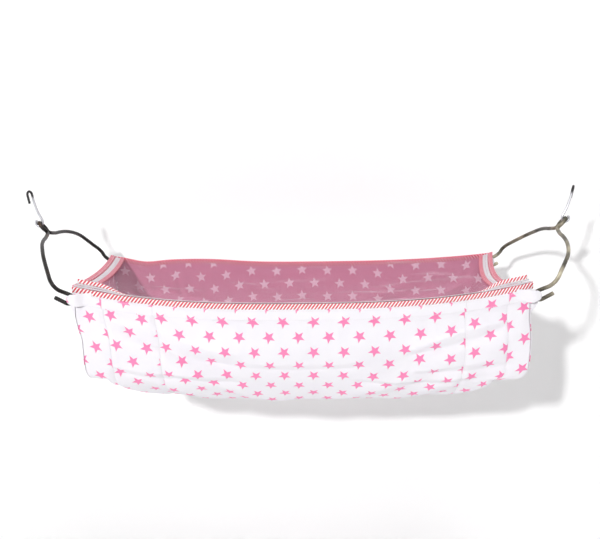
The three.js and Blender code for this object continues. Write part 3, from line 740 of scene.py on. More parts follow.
@dataclass(frozen=True)
class CastMetal:
    """Small cast metal parts, satin, darker in soft clouds."""

    name: str
    metal: Colour
    hollow: Colour = plain(120, 118, 118)
    cloud_scale: float = 400.0

    def material(self) -> Finish:
        """One metal with soft clouding.

        Returns:
            The material.
        """
        graph = Graph(self.name)
        cloud = graph.noise(graph.place(), self.cloud_scale, 3.0)
        colour = graph.mixed(cloud, self.metal, self.hollow)
        normal = graph.bumped(cloud, 0.0002, 0.4)
        return graph.finish(Base_Color=colour, Metallic=0.9, Roughness=0.32 + cloud * 0.2, Normal=normal)


# The tub's form, in metres from the level of the rim's corners


@dataclass(frozen=True)
class TubForm:
    """The sewn tub's surfaces as functions of shares of the half length and of the run round its section."""

    half_length: float = 0.446
    half_width: float = 0.212
    left_depth: float = 0.202
    right_depth: float = 0.218
    middle_depth: float = 0.242
    front_sag: float = 0.038
    back_sag: float = 0.017
    draw_in: float = 0.011
    bulge: float = 0.007
    left_shift: float = -0.009
    right_shift: float = 0.006
    left_bow: float = 0.008
    right_bow: float = 0.022
    left_droop: float = 0.006
    right_droop: float = 0.028
    flat_floor: float = 0.130
    straight_drop: float = 0.088
    corner: float = 0.058
    slump_start: float = 0.026
    slump_depth: float = 0.140
    wall: float = 0.00395
    binding_height: float = 0.011
    binding_thickness: float = 0.005
    overhang: float = 0.005
    fold_height: float = 0.007
    fold_width: float = 0.030
    sag_power: float = 2.8
    depth_power: float = 4.0
    back_dip: float = 0.007
    back_hump: float = 0.006
    dip_place: tuple[float, float] = (-0.83, 0.09)
    hump_place: tuple[float, float] = (-0.5, 0.2)
    turn_share: float = 0.417
    tuck: float = 0.0036
    soft_run: tuple[float, float] = (0.045, 0.095)
    soft_rise: tuple[float, float] = (0.045, 0.052)
    fold_paths: tuple[tuple[float, ...], ...] = (
        (0.93, 0.20, 0.42, 0.80), (0.80, 0.22, 0.12, 0.72), (0.96, 0.36, 0.62, 0.90))

    @property
    def cloth_start(self) -> float:
        """How far below the rim the outer cloth starts, under the binding."""
        return self.tuck * self.run_length / self.half_width

    @property
    def run_length(self) -> float:
        """Length of cloth from a rim to the floor's centre, at the middle of the tub."""
        y, z = self.middle_section(np.linspace(0, 1, 200))
        return float(np.hypot(np.diff(y), np.diff(z)).sum())

    @property
    def level(self) -> float:
        """Height of the rim's corners in the frame, where the long bindings end."""
        return float(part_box("front_rim_binding")[1].z)

    @property
    def binding_inner(self) -> float:
        """Half the width between the long bindings."""
        return self.half_width - self.wall / 2 - self.binding_thickness / 2

    def slack(self, share: Array) -> Array:
        """How far a place has left the boxy ends for the slack middle: 1 less the share's size to a power."""
        return 1 - np.abs(share) ** self.sag_power

    def rim(self, share: Array, side: Array) -> Array:
        """Height of the rim: the side's sag times the slack, with a dip and a hump along the back.

        Args:
            share: shares of the half length.
            side: negative for the front, positive for the back.

        Returns:
            Heights over the rim's corners.
        """
        dip, hump = (np.exp(-(((share - at) / wide) ** 2)) for at, wide in (self.dip_place, self.hump_place))
        back = self.back_hump * hump - self.back_dip * dip - self.back_sag * self.slack(share)
        return np.where(np.asarray(side) < 0, -self.front_sag * self.slack(share), back)

    def slump(self, y: Array, z: Array) -> Array:
        """How much an end's upper edge gives: a parabola across, times a smooth rise from foot to top."""
        across = np.maximum(0, 1 - (y / self.binding_inner) ** 2)
        return across * smoothstep(z, -self.slump_depth, -self.slump_start)

    def slumped(self, end: Side, points: Array, share: Array | float = 1.0) -> Array:
        """Points of an end after its upper edge has bowed inward and sagged, by a share of the slump.

        Args:
            end: which end.
            points: points of it.
            share: share of the slump.

        Returns:
            The moved points.
        """
        bow = self.left_bow if end is Side.LEFT else self.right_bow
        droop = self.left_droop if end is Side.LEFT else self.right_droop
        amount = share * self.slump(points[..., 1], points[..., 2])
        moved = points.copy()
        moved[..., 0] -= end.sign * bow * amount
        moved[..., 2] -= droop * amount
        return moved

    def half_section(self, depth: float, drop: float, turn_pull: float, floor_pull: float,
                     down: Array) -> tuple[Array, Array]:
        """Half a section: straight down, a cubic Bezier curve round the turn, then flat to the centre.

        Args:
            depth: from the rim to the floor.
            drop: the straight part below the rim.
            turn_pull: how far the curve's first handle reaches down.
            floor_pull: how far its second handle reaches out over the floor.
            down: shares of the way from the rim to the floor's centre.

        Returns:
            Distance from the middle and height, at each share.
        """
        t = np.linspace(0, 1, 240)[1:]
        half_floor = self.flat_floor / 2
        knots = np.array([[self.half_width, -drop], [self.half_width, -drop - turn_pull],
                          [half_floor + floor_pull, -depth], [half_floor, -depth]])
        weights = np.stack([(1 - t) ** 3, 3 * t * (1 - t) ** 2, 3 * t**2 * (1 - t), t**3], axis=-1)
        line = np.concatenate([[[self.half_width, 0]], knots[:1], weights @ knots, [[0, -depth]]])
        run = run_along(line)
        at = np.asarray(down) * run[-1]
        return np.interp(at, run, line[:, 0]), np.interp(at, run, line[:, 1])

    def middle_section(self, down: Array) -> tuple[Array, Array]:
        """The half section at the middle of the tub."""
        turn = (self.middle_depth - self.straight_drop) * self.turn_share
        return self.half_section(self.middle_depth, self.straight_drop, turn, turn, down)

    def end_section(self, end: Side, down: Array) -> tuple[Array, Array]:
        """The half section at an end: straight sides with a rounded lower corner."""
        depth = self.left_depth if end is Side.LEFT else self.right_depth
        floor_pull = self.half_width - self.flat_floor / 2 - self.corner / 2
        return self.half_section(depth, depth - self.corner, self.corner, floor_pull, down)

    def folds(self, share: Array, down: Array) -> Array:
        """Height of the long folds: on each path, a half sine wave times a bell curve of the distance away.

        Args:
            share: share of the half length.
            down: share of the way down to the floor's centre.

        Returns:
            The height off the smooth section.
        """
        height = np.zeros(np.broadcast(share, down).shape)
        drop = 2 * self.middle_depth
        for from_long, from_down, to_long, to_down in self.fold_paths:
            run = np.array([(to_long - from_long) * self.half_length, (to_down - from_down) * drop])
            place_x = (np.abs(share) - from_long) * self.half_length
            place_y = (down - from_down) * drop
            along = np.clip((place_x * run[0] + place_y * run[1]) / (run @ run), 0, 1)
            away = np.hypot(place_x - along * run[0], place_y - along * run[1])
            height += np.sin(np.pi * (0.15 + 0.7 * along)) * np.exp(-((away / self.fold_width) ** 2))
        return self.fold_height * height * smoothstep(down, 0.13, 0.3)

    def section(self, share: Array, run: Array, inset: float, ripple: Array | float = 0.0) -> Array:
        """The tub's section at each share of its half length, set in from its outer face.

        Args:
            share: shares of the half length, one for each row.
            run: from -1 at the front rim, by 0 at the floor's centre, to 1 at the back rim.
            inset: how far inside the outer face.
            ripple: further height off the face at each point.

        Returns:
            Rows by columns by 3, the x still a share of the end's place.
        """
        s = np.asarray(share)[:, None]
        r = np.asarray(run)[None, :]
        down = 1 - np.abs(r)
        side = np.where(r < 0, -1, 1)
        left_y, left_z = self.end_section(Side.LEFT, down)
        right_y, right_z = self.end_section(Side.RIGHT, down)
        middle_y, middle_z = self.middle_section(down)
        end_y = np.where(s < 0, left_y, right_y)
        end_z = np.where(s < 0, left_z, right_z)
        mix = 1 - np.abs(s) ** self.depth_power
        y = side * (end_y + (middle_y - end_y) * mix)
        own = self.rim(s, side)
        meeting = (self.rim(s, -side) - own) / 2
        z = end_z + (middle_z - end_z) * mix + own + meeting * (1 - (1 - down) ** 2)
        slope_y, slope_z = np.gradient(y, axis=1), np.gradient(z, axis=1)
        rise = (self.folds(s, down) + ripple - inset) / np.maximum(np.hypot(slope_y, slope_z), TINY)
        y, z = y + slope_z * rise, z - slope_y * rise
        return spread(s * self.end_at(s, y, z), y, z)

    def end_at(self, sign: Array | float, y: Array, z: Array) -> Array:
        """Half the length at a place: drawn in by the square of the share down, bulged by a sine wave.

        Args:
            sign: negative for the left end.
            y: place across the tub.
            z: height.

        Returns:
            The half length.
        """
        left = np.asarray(sign) < 0
        down = np.maximum(0, -z / np.where(left, self.left_depth, self.right_depth))
        out = self.bulge * np.sin(np.pi * np.minimum(down, 1)) * np.maximum(0, 1 - (y / self.half_width) ** 2)
        shift = np.where(left, self.left_shift, self.right_shift) * smoothstep(down, 0.28, 0.55)
        return self.half_length - self.draw_in * down**2 + out + shift

    def floor(self, share: Array) -> Array:
        """Height of the floor's centre line: the mixed depth below the mean of both rims."""
        end = np.where(share < 0, self.left_depth, self.right_depth)
        mix = 1 - np.abs(share) ** self.depth_power
        return (self.rim(share, -1) + self.rim(share, 1)) / 2 - end - (self.middle_depth - end) * mix

    def softened(self, points: Array) -> Array:
        """Rounds the corners between the ends and the floor.

        The two distances in from the corner, as shares of its size, are pulled from a square onto a circle:
        both are multiplied by the longer of the two over the length of the pair.

        Args:
            points: points of the tub, from the rim's corners.

        Returns:
            The same points, moved only near those corners.
        """
        x, y, z = points[..., 0], points[..., 1], points[..., 2]
        way = np.where(x < 0, -1.0, 1.0)
        run, rise = np.where(x < 0, *self.soft_run), np.where(x < 0, *self.soft_rise)
        reach = self.end_at(way, y, z)
        floor = self.floor(np.clip(x / self.half_length, -1, 1))
        out = np.maximum(0, 1 - (reach - np.abs(x)) / run)
        low = np.maximum(0, 1 - (z - floor) / rise)
        pull = np.maximum(out, low) / np.maximum(np.hypot(out, low), TINY)
        near = (out > 0) & (low > 0)
        moved = points.copy()
        moved[..., 0] = np.where(near, way * (reach - run * (1 - out * pull)), x)
        moved[..., 2] = np.where(near, floor + rise * (1 - low * pull), z)
        return moved

    def beside(self, side: Side, x: Array, out: float, lift: float) -> Array:
        """A line along a long side, so far out from the tub's width and so far above the rim."""
        level = self.rim(np.clip(x / self.half_length, -1, 1), side.sign) + lift
        return spread(x, side.sign * (self.half_width + out), level)

    def placed(self, points: Array) -> Array:
        """Points measured from the rim's corners, moved to the frame."""
        return points + np.array([0, 0, self.level])


@dataclass(frozen=True)
class BandForm:
    """Where the bands of the rim and the zips lie: on a leaning plane in front, on a slope at each end."""

    tub: TubForm
    slope: float = 16.0
    lean_corner: float = 4.0
    lean_middle: float = 112.0
    upright_end: float = 0.020
    settling: float = 0.095
    tape_thickness: float = 0.0014
    gap: float = 0.00035
    end_thickness: float = 0.0036
    net_binding_thickness: float = 0.0032
    short: float = 0.001

    def lean(self, x: Array) -> Array:
        """How far the front strips lean inward, in degrees, smoothly from the corners to the middle."""
        settled = smoothstep(self.tub.half_length - self.upright_end - np.abs(x), 0, self.settling)
        return self.lean_corner + (self.lean_middle - self.lean_corner) * settled

    def front(self, x: Array, far: Array | float, out: Array | float = 0.0) -> Array:
        """A point of the front strips: far along their lean from the binding's top, and out of their plane.

        Args:
            x: place along the front.
            far: distance along the lean.
            out: distance off the strip, outward.

        Returns:
            Points by 3.
        """
        lean = np.radians(self.lean(x))
        sine, cosine = np.sin(lean), np.cos(lean)
        base_y = -self.tub.half_width + self.tub.wall / 2
        dip = np.maximum(0, -cosine) * self.tub.binding_thickness
        share = np.clip(x / self.tub.half_length, -1, 1)
        base_z = self.tub.rim(share, -1) + self.gap + sine * self.tape_thickness / 2 + dip
        return spread(x, base_y + far * sine - out * cosine, base_z + far * cosine + out * sine)

    def end(self, end: Side, y: Array, far: Array | float, lift: Array | float) -> Array:
        """A point of an end's sloping band: far in from the rim's outer edge, and lifted off it.

        Args:
            end: which end.
            y: place across the tub.
            far: how far in.
            lift: how far off.

        Returns:
            Points by 3.
        """
        slope = math.radians(self.slope)
        x = self.tub.half_length + self.tub.overhang - far * math.cos(slope) + lift * math.sin(slope)
        z = -far * math.sin(slope) + lift * math.cos(slope)
        return self.tub.slumped(end, spread(end.sign * x, y, z))

    def at(self, side: Side, place: Array, far: float, lift: float) -> Array:
        """A point of the front's band, or of an end's."""
        return self.front(place, far, lift) if side is Side.FRONT else self.end(side, place, far, lift)

    def up(self, side: Side, place: Array, far: float) -> Array:
        """A short way up off the band."""
        return self.at(side, place, far, self.short) - self.at(side, place, far, 0)

    @property
    def front_tape(self) -> float:
        """Where the rim's tape starts along the lean."""
        return self.gap + self.tape_thickness / 2

    @property
    def reach(self) -> float:
        """Half the length of the rim with its overhang."""
        return self.tub.half_length + self.tub.overhang


TUB = TubForm()
BAND = BandForm(TUB)


class Ribbon:
    """A folded band: a rounded section carried along a line."""

    @staticmethod
    def piece(name: str, middle: Array, wide: Array, deep: Array, body: str, sides: int = 20,
              power: float = 5.0, pucker: Array | float = 1.0,
              printed: Callable[[Array], Array] | None = None) -> Piece:
        """At each station, the middle plus a rounded square's parts times half the width and half the depth.

        Args:
            name: the piece's name.
            middle: centre line, stations by 3, from the rim's corners.
            wide: half the width, stations by 3.
            deep: half the depth, stations by 3.
            body: the body it rides.
            sides: points round the section.
            power: how square the section is.
            pucker: what each station's depth is multiplied by.
            printed: metres along and across the cloth at given points, where the print follows another cloth.

        Returns:
            The piece, closed at both ends.
        """
        ring = rounded_ring(sides, power)
        swell = np.broadcast_to(np.asarray(pucker, float), (len(middle),))[:, None, None]
        points = middle[:, None] + ring[None, :, :1] * wide[:, None]
        points = points + ring[None, :, 1:] * deep[:, None] * swell
        closed = np.concatenate([points, points[:, :1]], axis=1)
        cloth = printed(closed) if printed else spread(run_along(middle)[:, None], lengths_along(closed))
        band = Surface.piece(name, TUB.placed(points), cloth, closed=True)
        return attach(band, body) or band

    @classmethod
    def upright(cls, name: str, middle: Array, side: Side, high: float, thick: float, **more: Any) -> Piece:
        """A band that stands along a long side of the cradle, so high and so thick."""
        wide = np.broadcast_to(np.array([0, 0, high / 2]), middle.shape)
        deep = np.broadcast_to(np.array([0, side.sign * thick / 2, 0]), middle.shape)
        return cls.piece(name, middle, wide, deep, "cradle", **more)


def dressed(piece: Piece, finish: Finish, body: str | None, node: Sequence[str], slot: str) -> Piece:
    """Gives a piece its finish and its body, and hides the nodes that it stands for.

    Args:
        piece: the piece.
        finish: its material.
        body: the body it rides, unless it rides one already.
        node: CAD nodes that it replaces.
        slot: the record's material slot; not used.

    Returns:
        The piece.
    """
    piece.data.materials.append(finish)
    if body:
        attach(piece, body)
    if node:
        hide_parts(*node)
    return piece


def sewn_sheet(piece: Piece, points: Array) -> None:
    """Works out a sheet's size from its longest rows and its area from half of its cells' cross products, and
    keeps neither.

    Args:
        piece: the sheet; not used.
        points: its surface, rows by columns by 3.
    """
    length = float(lengths_along(points)[:, -1].max())
    width = float(lengths_along(points.transpose(1, 0, 2))[:, -1].max())
    a, b = points[1:, 1:] - points[:-1, :-1], points[1:, :-1] - points[:-1, 1:]
    area = min(float(np.linalg.norm(np.cross(a, b), axis=-1).sum() / 2), width * length)


# Small repeated shapes


@dataclass(frozen=True)
class Bead:
    """A short bar with tapered ends, the shape of a stitch or a zip's link."""

    length: float
    wide: float
    high: float
    sides: int = 8
    leads: tuple[float, ...] = (-0.42, -0.2, 0.2, 0.42)
    fullness: float = 1.8

    def shape(self) -> Array:
        """Four rings round the bar and its two tips: at each lead the girth is the root of 1 less its square.

        Returns:
            The points.
        """
        turn = np.linspace(0, 2 * np.pi, self.sides, endpoint=False)
        lead = np.array(self.leads)[:, None]
        girth = np.sqrt(np.maximum(0.0, 1 - (lead * self.fullness) ** 2))
        rings = spread(lead * self.length, np.cos(turn) * girth * self.wide / 2,
                       np.sin(turn) * girth * self.high / 2)
        return np.concatenate([rings.reshape(-1, 3), [[-self.length / 2, 0, 0], [self.length / 2, 0, 0]]])

    def row(self, name: str, line: Array, pitch: float, normal: Array, start: float = 0.5) -> Piece:
        """Beads evenly spaced along a line, each turned with the line and laid flat to a normal.

        Args:
            name: the piece's name.
            line: points by 3 in the frame.
            pitch: distance from bead to bead.
            normal: which way the beads' backs face, points by 3 or one direction.
            start: the first bead's place, in pitches.

        Returns:
            The piece, all the beads in one mesh.
        """
        run = run_along(line)
        places = np.arange(start * pitch, run[-1] - pitch * 0.4, pitch)

        def at(where: Array, values: Array) -> Array:
            """Values of the line's points, worked out at distances along it."""
            return np.stack([np.interp(where, run, values[:, k]) for k in range(3)], axis=-1)

        along = unit(at(places + pitch / 5, line) - at(places - pitch / 5, line))
        up = at(places, np.broadcast_to(np.asarray(normal, float), line.shape))
        up = unit(up - along * (up * along).sum(axis=1, keepdims=True))
        axes = np.stack([along, np.cross(up, along), up], axis=1)
        points = at(places, line)[:, None, :] + np.einsum("kj,njc->nkc", self.shape(), axes)
        quads, fans = Surface.shell(len(self.leads), self.sides)
        step = (np.arange(len(places)) * points.shape[1])[:, None, None]
        polygons = (quads + step).reshape(-1, 4).tolist() + (fans + step).reshape(-1, 3).tolist()
        piece = Surface.linked(name, points.reshape(-1, 3), polygons)
        Surface.turned_out(piece)
        return piece


SEAM_STITCH = Bead(0.0026, 0.0006, 0.0005)
SEAM_PITCH = 0.0036


@dataclass(frozen=True)
class Thread:
    """Sewing thread."""

    name: str
    colour: Colour

    def material(self) -> Finish:
        """A soft matt colour, slightly clouded.

        Returns:
            The material.
        """
        graph = Graph(self.name)
        cloud = graph.noise(graph.place(), 300.0)
        colour = graph.mixed(cloud * 0.4, self.colour, plain(190, 180, 185))
        return graph.finish(Base_Color=colour, Roughness=0.75 + cloud * 0.1)


# The sewn tub


@dataclass(frozen=True)
class Pleat:
    """A fold that hangs from a crest to a hollow below it, each a line of places and falls."""

    high: float
    crest: tuple[float, ...]
    hollow: tuple[float, ...]
    above: float = 0.016
    below: float = 0.012

    def height(self, place: Array, fallen: Array) -> Array:
        """Rises to the crest exponentially, falls evenly to the hollow and rises back; fades at both ends.

        Args:
            place: metres along the tub.
            fallen: metres of cloth below the rim.

        Returns:
            Heights off the smooth cloth.
        """
        top, low = (np.array(line).reshape(-1, 2) for line in (self.crest, self.hollow))
        first = np.interp(place, top[:, 0], top[:, 1])
        last = np.interp(place, low[:, 0], low[:, 1])
        over, under = np.maximum(0, first - fallen), np.maximum(0, fallen - last)
        between = np.clip((fallen - first) / np.maximum(last - first, 1e-4), 0, 1)
        shape = (1 - 2 * between) * np.exp(-over / self.above) * np.exp(-under / self.below)
        span = top[-1, 0] - top[0, 0]
        within = np.clip((place - top[0, 0]) / span, 0, 1)
        wide = smoothstep(last - first, 0.0, 0.016)
        return self.high * shape * wide * smoothstep(within, 0.0, 0.2) * smoothstep(1 - within, 0.0, 0.25)


@dataclass
class SewnTub:
    """The printed outer cloth, the pink lining and both ends of each."""

    tub: TubForm
    outside: Finish
    inside: Finish
    thread: Finish
    stations: int = 360
    columns: int = 240
    end_columns: int = 90
    end_rows: int = 90
    outer_wall: float = 0.0012
    lining_wall: float = 0.0010
    pucker: float = 0.0009
    billow: float = 0.0014
    seam_draw: float = 0.0016
    gap: float = 0.00035
    top_gap: float = 0.0006
    end_inset: float = 0.0003
    end_outside: float = 0.00235
    end_inside: float = 0.00195
    seams: tuple[float, ...] = (-0.392, -0.293, 0.319, 0.402)
    pleats: tuple[Pleat, ...] = (
        Pleat(0.0100, (-0.43, 0.050, -0.359, 0.057, -0.30, 0.058, -0.27, 0.070, -0.239, 0.086,
                       -0.19, 0.100, -0.10, 0.112),
              (-0.43, 0.054, -0.384, 0.064, -0.355, 0.076, -0.308, 0.098, -0.26, 0.118,
               -0.213, 0.132, -0.10, 0.146)),
        Pleat(0.0056, (-0.42, 0.142, -0.36, 0.150, -0.30, 0.156, -0.22, 0.160, -0.10, 0.172),
              (-0.42, 0.150, -0.36, 0.168, -0.30, 0.178, -0.22, 0.184, -0.10, 0.190)),
        Pleat(0.0034, (-0.14, 0.126, -0.04, 0.131, 0.06, 0.130, 0.15, 0.124),
              (-0.14, 0.140, -0.04, 0.150, 0.06, 0.148, 0.15, 0.138)),
        Pleat(0.0080, (0.18, 0.110, 0.263, 0.087, 0.307, 0.074, 0.343, 0.069, 0.402, 0.060, 0.435, 0.052),
              (0.18, 0.124, 0.263, 0.108, 0.307, 0.096, 0.343, 0.089, 0.402, 0.072, 0.435, 0.056)),
        Pleat(0.0050, (0.20, 0.150, 0.26, 0.146, 0.34, 0.140, 0.43, 0.142),
              (0.20, 0.160, 0.26, 0.162, 0.34, 0.160, 0.43, 0.152)),
        Pleat(0.0042, (0.08, 0.172, 0.18, 0.180, 0.28, 0.180, 0.38, 0.170),
              (0.08, 0.180, 0.18, 0.196, 0.28, 0.198, 0.38, 0.180)),
    )

    def ripple(self, share: Array, run: Array) -> Array:
        """Small waves off the smooth cloth: puckers under the belt and broad waves, all products of sines.

        Args:
            share: shares of the half length.
            run: shares round the section.

        Returns:
            Heights, rows by columns.
        """
        s, r = np.asarray(share)[:, None], np.asarray(run)[None, :]
        down = 1 - np.abs(r)
        below = np.exp(-(((down - 0.17) / 0.10) ** 2))
        puckers = self.pucker * np.sin(s * 71 + 3 * np.sin(s * 9)) * below * np.sin(s * 23 + 1.3) ** 2
        slow = self.billow * np.sin(s * 11.3 + r * 4.1 + 0.8) * np.sin(r * 7.9 - s * 3.7 + 0.4)
        slow = slow + self.creased(s * self.tub.half_length, down * self.tub.run_length, r)
        drawn = sum(np.exp(-(((s * self.tub.half_length - at) / 0.006) ** 2)) for at in self.seams)
        drawn = self.seam_draw * drawn * smoothstep(down, 0.05, 0.12)
        return puckers + slow * smoothstep(down, 0.08, 0.3) - drawn

    def creased(self, x: Array, fallen: Array, run: Array) -> Array:
        """Height of the pleats on the front, and of the same ones mirrored and weaker on the back.

        Args:
            x: metres along the tub.
            fallen: metres of cloth below the rim.
            run: below 0 on the front.

        Returns:
            Heights off the smooth cloth.
        """
        place = np.where(run < 0, x, -x)
        height = sum(pleat.height(place, fallen) for pleat in self.pleats)
        return height * np.where(run < 0, 1.0, 0.6) * smoothstep(fallen, 0.034, 0.052)

    def long_cloth(self, name: str, inset: float) -> tuple[Piece, Array]:
        """One length of cloth from rim to rim.

        Args:
            name: the piece's name.
            inset: how far inside the outer face it lies.

        Returns:
            The piece, and its points from the rim's corners.
        """
        share = np.linspace(-1, 1, self.stations)
        top = self.tub.tuck / self.tub.half_width
        run = np.linspace(-1 + top, 1 - top, self.columns)
        points = self.tub.softened(self.tub.section(share, run, inset, self.ripple(share, run)))
        cloth = spread((share * self.tub.half_length)[:, None], lengths_along(points))
        return Surface.piece(name, self.tub.placed(points), cloth), points

    def end_cloth(self, name: str, end: Side, inset: float, depth: float) -> tuple[Piece, Array]:
        """The cloth of one end, from between the rim bindings down to the floor.

        Args:
            name: the piece's name.
            end: which end.
            inset: how far inside the tub's outer face its edge lies.
            depth: how far beyond the end of the tub it stands.

        Returns:
            The piece, and its points from the rim's corners.
        """
        half_floor_share = self._floor_share(end)
        down = np.linspace(0.0, half_floor_share, self.end_rows)
        edge = self.tub.section(np.array([float(end.sign)]), down - 1, inset)[0]
        top = -(self.tub.overhang - depth) * math.tan(math.radians(BAND.slope))
        width = -edge[:, 1]
        height = edge[:, 2].copy()
        neck = self.tub.binding_inner - self.gap
        width = np.where(height > -self.tub.binding_height, np.minimum(width, neck), width)
        height[0] = top - self.top_gap
        across = np.linspace(-1, 1, self.end_columns)
        y = width[:, None] * across[None, :]
        z = np.broadcast_to(height[:, None], y.shape)
        x = end.sign * (self.tub.end_at(end.sign, y, z) + depth)
        points = self.tub.softened(self.tub.slumped(end, np.stack([x, y, z], axis=-1)))
        cloth = spread(points[..., 1], lengths_along(points.transpose(1, 0, 2)).T)
        return Surface.piece(name, self.tub.placed(points), cloth), points

    def _floor_share(self, end: Side) -> float:
        """Share of the run at which an end's section reaches the flat floor."""
        down = np.linspace(0, 1, 400)
        y, _ = self.tub.end_section(end, down)
        return float(down[np.argmax(y <= self.tub.flat_floor / 2 + 1e-6)])

    def sewn(self, piece: Piece, way: tuple[int, int, int], printed: bool, node: str) -> None:
        """Turns a cloth's face that way, gives it its wall and dresses it in the print or the lining.

        Args:
            piece: the cloth.
            way: where its face points.
            printed: whether it is an outer cloth.
            node: the node that it stands for.
        """
        Surface.turned_out(piece, np.array(way, float))
        Surface.thick(piece, self.outer_wall if printed else self.lining_wall)
        finish, slot = (self.outside, "printed_cloth") if printed else (self.inside, "pink_lining")
        dressed(piece, finish, "cradle", [node], slot)

    def build(self) -> list[Piece]:
        """Builds and dresses the six cloths and their seam stitches.

        Returns:
            The pieces.
        """
        outer, points = self.long_cloth("outer_cloth", 0.0)
        self.sewn(outer, (0, 0, -1), True, "body_cloth")
        rows = self.seam_rows(points)
        sewn_sheet(outer, points)
        lining, points = self.long_cloth("lining", self.tub.wall)
        self.sewn(lining, (0, 0, 1), False, "body_lining")
        sewn_sheet(lining, points)
        made = [outer, lining, *rows]
        for end in ENDS:
            for word, way, inset, depth, node in (
                    ("cloth", end.sign, -self.end_inset, self.end_outside, "panel"),
                    ("inside", -end.sign, self.tub.wall + self.gap, -self.end_inside, "lining")):
                panel, points = self.end_cloth(f"{end.word}_end_{word}", end, inset, depth)
                self.sewn(panel, (way, 0, 0), node == "panel", f"{end.word}_end_{node}")
                sewn_sheet(panel, points)
                made.append(panel)
        return made

    def seam_rows(self, points: Array) -> list[Piece]:
        """Rows of stitches beside each of the front's upright seams, on the cloth's own points.

        Args:
            points: the outer cloth's points.

        Returns:
            A piece for each seam.
        """
        rows = []
        half = points.shape[1] // 2
        for number, at in enumerate(self.seams):
            station = int(np.argmin(np.abs(points[:, 10, 0] - at - 0.002)))
            line = self.tub.placed(points[station, 10:half - 10])
            normal = unit(spread(0.0, np.gradient(line[:, 2]), -np.gradient(line[:, 1])))
            row = SEAM_STITCH.row(f"seam_stitches_{number + 1}", line + normal * 0.0002, SEAM_PITCH, normal)
            rows.append(dressed(row, self.thread, "cradle", [], "printed_cloth"))
        return rows


